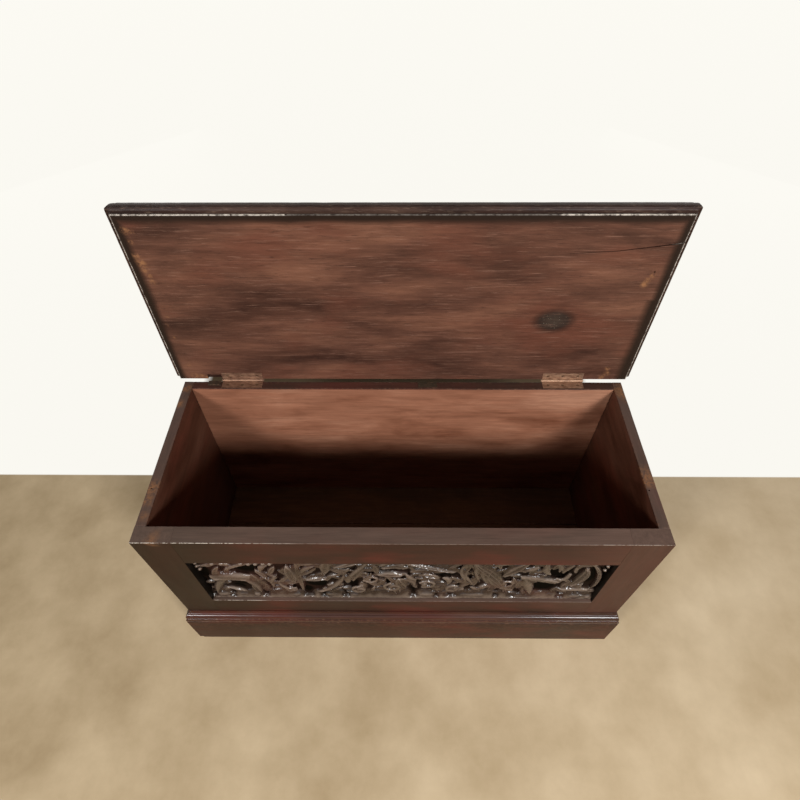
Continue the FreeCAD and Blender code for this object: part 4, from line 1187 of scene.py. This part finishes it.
def on_lid(x, along, up):
    """A place on the open lid: across it, along it from the rear edge, and up from its underside."""
    y, z = -(lid_setback + along), LID_GAP + up
    return Vector((x, pin_y + y * math.cos(lid_turn) + z * math.sin(lid_turn),
                   pin_z - y * math.sin(lid_turn) + z * math.cos(lid_turn)))


def lid_place(place):
    """The same three measures of a point of the open lid."""
    y, z = place.y - pin_y, place.z - pin_z
    shut_y = y * math.cos(lid_turn) - z * math.sin(lid_turn)
    shut_z = y * math.sin(lid_turn) + z * math.cos(lid_turn)
    return Vector((place.x, -shut_y - lid_setback, shut_z - LID_GAP))


def edge_point(out, up):
    return Vector((out * MM, up * MM))


LID_SECTION = [
    edge_point(-2.2, 0), *arc(edge_point(-2.2, 0), edge_point(0, 1.9), 2.3 * MM, -1),
    *arc(edge_point(0, 1.95), edge_point(9.7, 10.2), 9.6 * MM, 1),
    *arc(edge_point(9.7, 10.2), edge_point(10.2, 15.2), 2.9 * MM, -1),
    edge_point(9.3, 15.7), edge_point(9.3, 16.4), edge_point(11.1, 16.8), edge_point(11.5, 17.4),
    edge_point(11.5, 21.5), edge_point(11.5, 25.6), edge_point(11.0, 27.5),
    *arc(edge_point(11.0, 27.5), edge_point(8.05, 31.8), 6.2 * MM, -1),
    edge_point(6.8, 32), edge_point(6.56, 32.4), edge_point(6.56, 38.2), edge_point(5.8, 39),
]
CHIP = 0.4 * MM
CHIP_RUN = 3 * MM
CHIP_NOISE = ((4, 5), (45, 9))
EDGE_BAND = 9 * MM
EDGE_LINES = np.array([0, 1.5, 3, 5]) * MM
across_lines = np.concatenate([
    -arris_half + EDGE_LINES,
    np.linspace(-arris_half + EDGE_BAND, arris_half - EDGE_BAND, round(2 * arris_half / LID_CELL)),
    arris_half - EDGE_LINES[::-1]])
along_lines = np.concatenate([
    np.linspace(0, arris_front - EDGE_BAND, round(arris_front / LID_CELL)),
    arris_front - EDGE_LINES[::-1]])
columns, rows = len(across_lines), len(along_lines)


def lid_plan(x, along, corner):
    """A place on the lid's plan, let out to a corner of the section and rounded at the front corners."""
    sign = -1 if x < 0 else 1
    half, front_edge = arris_half + corner.x, arris_front + corner.x
    place = Vector((abs(x) * half / arris_half, along * front_edge / arris_front))
    radius = LOWER_CORNER + (UPPER_CORNER[sign] - LOWER_CORNER) * (corner.y / LID_THICKNESS) ** 0.7
    inner = Vector((min(place.x, half - radius), min(place.y, front_edge - radius)))
    out = place - inner
    if out.x > 0 and out.y > 0:
        place = inner + out * (max(out) / out.length)
    return Vector((place.x * sign, place.y))


lid_points, lid_faces = [], []


def lid_vertex(x, along, corner, wave=0.0, chip=0.0):
    """Add a vertex of the lid, lowered by the waves of the plane or chipped back from the edge."""
    plan = lid_plan(x, along, corner)
    dip = wave * (1 + noise.noise(Vector((plan.x * 5, plan.y * 14, corner.y * 50))))
    rough = sum(noise.noise(Vector((plan.x * cells, plan.y * cells, seed))) for cells, seed in CHIP_NOISE)
    back = chip * max(0, rough)
    plan = Vector((plan.x * (1 - back / arris_half), max(plan.y - back, 0) if along else 0))
    lid_points.append(on_lid(plan.x, plan.y, corner.y - dip if corner.y else dip))
    return len(lid_points) - 1


boundary = [(0, row) for row in range(rows)] + [(column, rows - 1) for column in range(1, columns)]
boundary += [(columns - 1, row) for row in range(rows - 2, -1, -1)]
faces_of_lid = {}
for corner in (LID_SECTION[0], LID_SECTION[-1]):
    grid = {}
    for column, x in enumerate(across_lines):
        for row, along in enumerate(along_lines):
            inside = 0 < column < columns - 1 and 0 < row < rows - 1
            grid[column, row] = lid_vertex(x, along, corner, wave=PLANE_MARK if inside else 0)
    faces_of_lid[corner.y] = grid
    for column in range(columns - 1):
        for row in range(rows - 1):
            ring = [grid[column + a, row + b] for a, b in ((0, 0), (0, 1), (1, 1), (1, 0))]
            lid_faces.append(ring if corner.y else ring[::-1])
under, top = faces_of_lid[LID_SECTION[0].y], faces_of_lid[LID_SECTION[-1].y]
rings = [[under[key] for key in boundary]]
levels = [[under[column, 0] for column in range(columns)]]
for corner in LID_SECTION[1:-1]:
    chip = CHIP * min(1, (corner.x - LID_SECTION[0].x) / CHIP_RUN)
    rings.append([lid_vertex(across_lines[column], along_lines[row], corner, chip=chip)
                  for column, row in boundary])
    inner = [lid_vertex(x, 0, corner) for x in across_lines[1:-1]]
    levels.append([rings[-1][0], *inner, rings[-1][-1]])
rings.append([top[key] for key in boundary])
levels.append([top[column, 0] for column in range(columns)])
for lower, upper in zip(rings, rings[1:]):
    for number in range(len(boundary) - 1):
        lid_faces.append((lower[number], lower[number + 1], upper[number + 1], upper[number]))
for lower, upper in zip(levels, levels[1:]):
    for column in range(columns - 1):
        lid_faces.append((lower[column], upper[column], upper[column + 1], lower[column + 1]))
lid = mesh_piece("lid_board_moulded", lid_points, lid_faces, LID_CREASE)


def lid_cutter(name, plan, depth):
    """A cutter into the lid's underside, of a plan of (x, along) and a depth."""
    points = [on_lid(x, along, up) for up in (-CUT_PAST, depth) for x, along in plan]
    return mesh_piece(name, points, [face[::-1] for face in skin(2, len(plan))])


def oblong(left, right, reach):
    return [(left, -CUT_PAST), (right, -CUT_PAST), (right, reach), (left, reach)]


FILLER_ROOM = 2 * MM
cutters = []
for side in HINGE_SIDES:
    low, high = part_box(f"{side}_hinge_lid_leaf")
    plan = oblong(low.x - LEAF_CLEARANCE, high.x + LEAF_CLEARANCE, LEAF_WIDTH + LEAF_CLEARANCE)
    cutters.append(lid_cutter(f"{side}_lid_mortise", plan, LEAF_DEPTH))
low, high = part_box("rear_rim_filler")
plan = oblong(low.x - FILLER_ROOM, high.x + FILLER_ROOM, high.y - low.y + FILLER_ROOM)
cutters.append(lid_cutter("filler_recess", plan, high.z - rim + FILLER_ROOM))
LID_HOLE = (half_width - 28 * MM, 348 * MM)
cutters.append(peg("lid_pin_hole", on_lid(*LID_HOLE, 0), on_lid(0, 0, 1) - on_lid(0, 0, 0),
                   PIN_HOLE_RADIUS, PIN_HOLE_DEPTH))
SHAKE_DEPTH = 6 * MM
SHAKE = ((368, 395, 0.3), (420, 399, 0.8), (470, 402, 0.9), (520, 409, 1.2), (570, 416, 1.3),
         (640, 428, 1.8))
shake_plan = [(x * MM, (along - half) * MM) for x, along, half in SHAKE]
shake_plan += [(x * MM, (along + half) * MM) for x, along, half in reversed(SHAKE)]
cutters.append(lid_cutter("shake", shake_plan, SHAKE_DEPTH))
cut_from(lid, cutters)
lid.data.set_sharp_from_angle(angle=math.radians(LID_CREASE))


def lid_edge(place):
    """How far a point is outside the arris of the lid's three worked edges, and how far up."""
    x, along, up = lid_place(place)
    return max(abs(x) - arris_half, along - arris_front), up, x, along


EDGE_UP, EDGE_OUT = 3 * MM, 1 * MM
UNDERSIDE = 2 * MM
BORDER = 25 * MM
LOW_RIGHT_BORDER = 12 * MM
LOW_PART = 0.55
ARRIS_IN = 0.6 * MM
ARRIS_LINE = 2 * MM
FRONT_BAND = 3 * MM
DIM_GLINT = 0.18
DIM_GLINT_STRETCH = (-0.24, 0.33)


def edge_amount(place):
    out, up, _, _ = lid_edge(place)
    return up > EDGE_UP or out > EDGE_OUT


def border_amount(place):
    out, _, x, along = lid_edge(place)
    width = BORDER * (1 + 0.25 * noise.noise(Vector((x * 9, along * 9, 2))))
    if x > 0 and along < arris_front * LOW_PART:
        width += LOW_RIGHT_BORDER
    return 1.25 * (1 - (-out / width) ** 2) if -out < width else 0


# Painted highlight along the lid's arris, partly rubbed wear, dimmer along the middle of the front
def arris_glint_amount(place):
    out, up, x, along = lid_edge(place)
    line = 1 - math.hypot(out + ARRIS_IN, up - ARRIS_IN) / ARRIS_LINE
    dull = along > arris_front - FRONT_BAND and DIM_GLINT_STRETCH[0] < x < DIM_GLINT_STRETCH[1]
    return line * 1.5 * (DIM_GLINT if dull else 1)


LID_OCHRE = ((-590, 452, 8), (-578, 450, 5), (-586, 424, 5), (-588, 390, 7), (-583, 372, 10), (-581, 354, 9),
             (-578, 338, 6), (-575, 320, 6), (-576, 216, 3), (-584, 190, 3), (-580, 150, 3), (-572, 54, 6),
             (-566, 12, 9), (-545, 8, 9), (-532, 5, 7), (569, 338, 7), (562, 326, 7), (556, 314, 8),
             (552, 22, 8), (540, 8, 8), (549, 40, 6))
LID_SPOT_CORE = 1.35


def lid_ochre_amount(place):
    _, up, x, along = lid_edge(place)
    if up > UNDERSIDE:
        return 0
    return max(LID_SPOT_CORE - math.hypot(x - spot_x * MM, along - spot_along * MM) / (size * MM)
               for spot_x, spot_along, size in LID_OCHRE)


KNOT = (372 * MM, 205 * MM)
KNOT_SIZE = (62 * MM, 44 * MM)


def knot_amount(place):
    _, up, x, along = lid_edge(place)
    gap = math.hypot((x - KNOT[0]) / KNOT_SIZE[0], (along - KNOT[1]) / KNOT_SIZE[1])
    return 1 - gap if up < UNDERSIDE else 0


paint(lid, "edge", edge_amount)
paint(lid, "rubbed", lambda place: lid_edge(place)[0] > 0)
paint(lid, "border", border_amount)
paint(lid, "arris", arris_glint_amount)
paint(lid, "ochre", lid_ochre_amount)
paint(lid, "knot", knot_amount)
LID_TONES = (colour(64, 41, 33), colour(98, 65, 52), colour(124, 84, 66))
LID_FLUSH = colour(105, 65, 51)
LID_EDGE_TONES = (colour(36, 20, 15), colour(54, 34, 27), colour(76, 54, 44))
EDGE_WORN_TONE = colour(128, 106, 90)
BORDER_TONE = colour(38, 26, 20)
KNOT_STOPS = ((0, colour(86, 60, 48)), (0.18, colour(44, 32, 27)), (0.5, colour(58, 46, 40)),
              (0.8, colour(70, 58, 50)))
SPECK_TONE = colour(170, 160, 140)
SPECK_CELLS = (260, 260, 260)
# Pale scratches and dark pores: tone, cells per metre and strength
LID_MARKS = ((colour(150, 112, 94), (12, 280, 280), 0.55), (colour(58, 37, 30), (22, 230, 230), 0.65))
EDGE_WORN_CELLS, EDGE_WORN_AMOUNT = (45, 260, 260), 0.42
LID_ROUGHNESS = 0.42
LID_SPECULAR = 0.14


def lid_finish():
    """Thin reddish stain with grey clouds; dark polish on top and edges, and a painted highlight at the
    arris, partly rubbed wear.
    """
    material, tree, shader = new_finish("lid_wood")
    surface, _ = mottled(tree, "X", LID_TONES, LID_FLUSH)
    knot = painted(tree, "knot")
    surface = laid_over(tree, spread(tree, knot, 0.02, 0.45), surface, ramp(tree, knot, KNOT_STOPS))
    speck = spread(tree, grain_noise(tree, SPECK_CELLS, 2, 0.5), 0.66, 0.7)
    surface = laid_over(tree, times(tree, speck, spread(tree, knot, 0.35, 0.7)), surface, SPECK_TONE)
    surface, fibre = grained(tree, surface, "X")
    for tone, cells, amount in LID_MARKS:
        mark = spread(tree, grain_noise(tree, cells, 6, 0.75, 0.6), 0.55, 0.68, 0, amount)
        surface = laid_over(tree, mark, surface, tone)
    surface = laid_over(tree, painted(tree, "border"), surface, BORDER_TONE)
    edge, _ = mottled(tree, "X", LID_EDGE_TONES, LID_EDGE_TONES[0])
    edge_worn = spread(tree, grain_noise(tree, EDGE_WORN_CELLS, 6, 0.75), 0.52, 0.66, 0, EDGE_WORN_AMOUNT)
    edge_worn = times(tree, edge_worn, painted(tree, "rubbed"))
    edge = laid_over(tree, edge_worn, edge, EDGE_WORN_TONE)
    surface = laid_over(tree, painted(tree, "edge"), surface, edge)
    surface = wear_and_glint(tree, surface, "ochre", OCHRE_TONE, 0.4, 0.58)
    # Painted highlight at the arris
    surface = wear_and_glint(tree, surface, "arris", GLINT_TONE, 0.36, 0.56)
    tree.links.new(surface, shader.inputs["Base Color"])
    shader.inputs["Roughness"].default_value = LID_ROUGHNESS
    shader.inputs["Specular IOR Level"].default_value = LID_SPECULAR
    raise_grain(tree, shader, fibre, *FIBRE_RELIEF)
    return material


fit_piece(lid, lid_finish(), "lid", "lid_wood", "lid_board")
lid_up = Matrix.Rotation(math.pi - lid_turn, 4, "X")
screws = slotted_screws("hinge_lid_screws_slotted",
                        lambda x: Matrix.Translation(on_lid(x, LEAF_WIDTH / 2, 0)) @ lid_up)
fit_piece(screws, screw_brass, "lid", "screw_brass", "hinge_lid_screws")


# Floor, light and camera. A pale concrete floor that turns to white beyond the foot of the wall, but
# for the shade behind the chest; two soft lamps in front and two weak fills low down at the rear.
FLOOR_REACH = 9.0
WALL_FOOT = rear_y + 83 * MM
WALL_BLUR = 4 * MM
SHADE_CENTRE, SHADE_HALF, SHADE_BLUR = -0.0375, 0.8, 0.02
SHADE_START, SHADE_END, SHADE_END_BLUR = 0.8, 1.35, 0.25
SIDE_GLOW_REACH = 1.5
floor_mesh = bpy.data.meshes.new("studio_floor")
corners = [(x * FLOOR_REACH, y * FLOOR_REACH, 0) for x, y in ((-1, -1), (1, -1), (1, 1), (-1, 1))]
floor_mesh.from_pydata(corners, [], [(0, 1, 2, 3)])
floor = bpy.data.objects.new("studio_floor", floor_mesh)
bpy.context.scene.collection.objects.link(floor)
WHITE = colour(249, 247, 240)
FLOOR_GLOW = 0.26
FLOOR_ROUGHNESS = 0.8
FLOOR_SHEEN = 0.1
SHADE_TONE = colour(104, 86, 64)
BLACK = (0, 0, 0, 1)
CONCRETE_STOPS = [(0.3, colour(152, 130, 98)), (0.7, colour(196, 174, 140))]
BRIGHT_CONCRETE_STOPS = [(0.3, colour(184, 161, 127)), (0.7, colour(214, 193, 161))]


def larger(tree, first, second):
    node = tree.nodes.new("ShaderNodeMath")
    node.operation = "MAXIMUM"
    tree.links.new(first, node.inputs[0])
    tree.links.new(second, node.inputs[1])
    return node.outputs["Value"]


def seen_rays(tree):
    """1 for rays from the camera, from a glossy surface or through glass, and 0 for the others."""
    path = tree.nodes.new("ShaderNodeLightPath")
    value = path.outputs["Is Camera Ray"]
    for name in ("Is Glossy Ray", "Is Transmission Ray"):
        value = larger(tree, value, path.outputs[name])
    return value


floor_finish, tree, shader = new_finish("pale_concrete")
place = tree.nodes.new("ShaderNodeTexCoord")
axes = tree.nodes.new("ShaderNodeSeparateXYZ")
tree.links.new(place.outputs["Object"], axes.inputs["Vector"])
across, depth = axes.outputs["X"], axes.outputs["Y"]
mottle = grain_noise(tree, (3, 3, 3), 6, 0.6)
side_glow = spread(tree, across, -SIDE_GLOW_REACH, SIDE_GLOW_REACH)
pale = laid_over(tree, side_glow, ramp(tree, mottle, CONCRETE_STOPS),
                 ramp(tree, mottle, BRIGHT_CONCRETE_STOPS))
shader.inputs["Roughness"].default_value = FLOOR_ROUGHNESS
shader.inputs["Specular IOR Level"].default_value = FLOOR_SHEEN
beyond = spread(tree, depth, WALL_FOOT, WALL_FOOT + WALL_BLUR)
aside = tree.nodes.new("ShaderNodeMath")
aside.operation = "ABSOLUTE"
tree.links.new(spread(tree, across, SHADE_CENTRE - 2, SHADE_CENTRE + 2, -2, 2), aside.inputs[0])
clear_aside = spread(tree, aside.outputs["Value"], SHADE_HALF - SHADE_BLUR, SHADE_HALF + SHADE_BLUR)
clear_behind = spread(tree, depth, SHADE_END - SHADE_END_BLUR, SHADE_END + SHADE_END_BLUR)
white = times(tree, beyond, larger(tree, clear_aside, clear_behind))
near_part = spread(tree, depth, WALL_FOOT, SHADE_START, FLOOR_GLOW, 0)
glow = laid_over(tree, white, laid_over(tree, near_part, BLACK, pale), WHITE)
seen = seen_rays(tree)
tree.links.new(glow, shader.inputs["Emission Color"])
tree.links.new(seen, shader.inputs["Emission Strength"])
shade = laid_over(tree, spread(tree, depth, WALL_FOOT, SHADE_START), pale, SHADE_TONE)
lit_part = laid_over(tree, times(tree, white, seen), shade, BLACK)
tree.links.new(lit_part, shader.inputs["Base Color"])
floor_mesh.materials.append(floor_finish)

world = bpy.data.worlds.new("studio")
bpy.context.scene.world = world
world.use_nodes = True
tree = world.node_tree
AMBIENT = 0.05
backdrop = tree.nodes["Background"]
backdrop.inputs["Color"].default_value = WHITE
tree.links.new(spread(tree, seen_rays(tree), 0, 1, AMBIENT, 1), backdrop.inputs["Strength"])

LAMP_DISTANCE = 3.2
lit_place = Vector((0, back_low.y, rim))
LAMPS = (("left_lamp", -34, 23.5, 46, 0.6), ("right_lamp", 28, 24.5, 68, 0.6),
         ("rear_left_fill", -140, 2, 9, 1.6), ("rear_right_fill", 140, 2, 9, 1.6))
for name, turn, height, power, size in LAMPS:
    turn, height = math.radians(turn), math.radians(height)
    way = Vector((math.sin(turn) * math.cos(height), -math.cos(turn) * math.cos(height), math.sin(height)))
    lamp = bpy.data.lights.new(name, "AREA")
    lamp.size = size
    lamp.energy = power
    holder = bpy.data.objects.new(name, lamp)
    holder.location = lit_place + way * LAMP_DISTANCE
    holder.rotation_euler = way.to_track_quat("Z", "Y").to_euler()
    bpy.context.scene.collection.objects.link(holder)

FOCAL_SHARE = 543.1 / 800
CAMERA_PLACE = Vector((6.9 * MM, front_y - 515.2 * MM, rim + 1113.1 * MM))
CAMERA_TURN, CAMERA_TILT, CAMERA_ROLL = 0.769, 50.282, 0.463
camera_data = bpy.data.cameras.new("camera")
camera_data.sensor_width = 36
camera_data.lens = camera_data.sensor_width * FOCAL_SHARE
camera = bpy.data.objects.new("camera", camera_data)
camera.matrix_world = (Matrix.Translation(CAMERA_PLACE)
                       @ Matrix.Rotation(math.radians(CAMERA_TURN), 4, "Z")
                       @ Matrix.Rotation(math.radians(90 - CAMERA_TILT), 4, "X")
                       @ Matrix.Rotation(math.radians(-CAMERA_ROLL), 4, "Z"))
bpy.context.scene.collection.objects.link(camera)
bpy.context.scene.camera = camera
bpy.context.scene.view_settings.view_transform = "Standard"
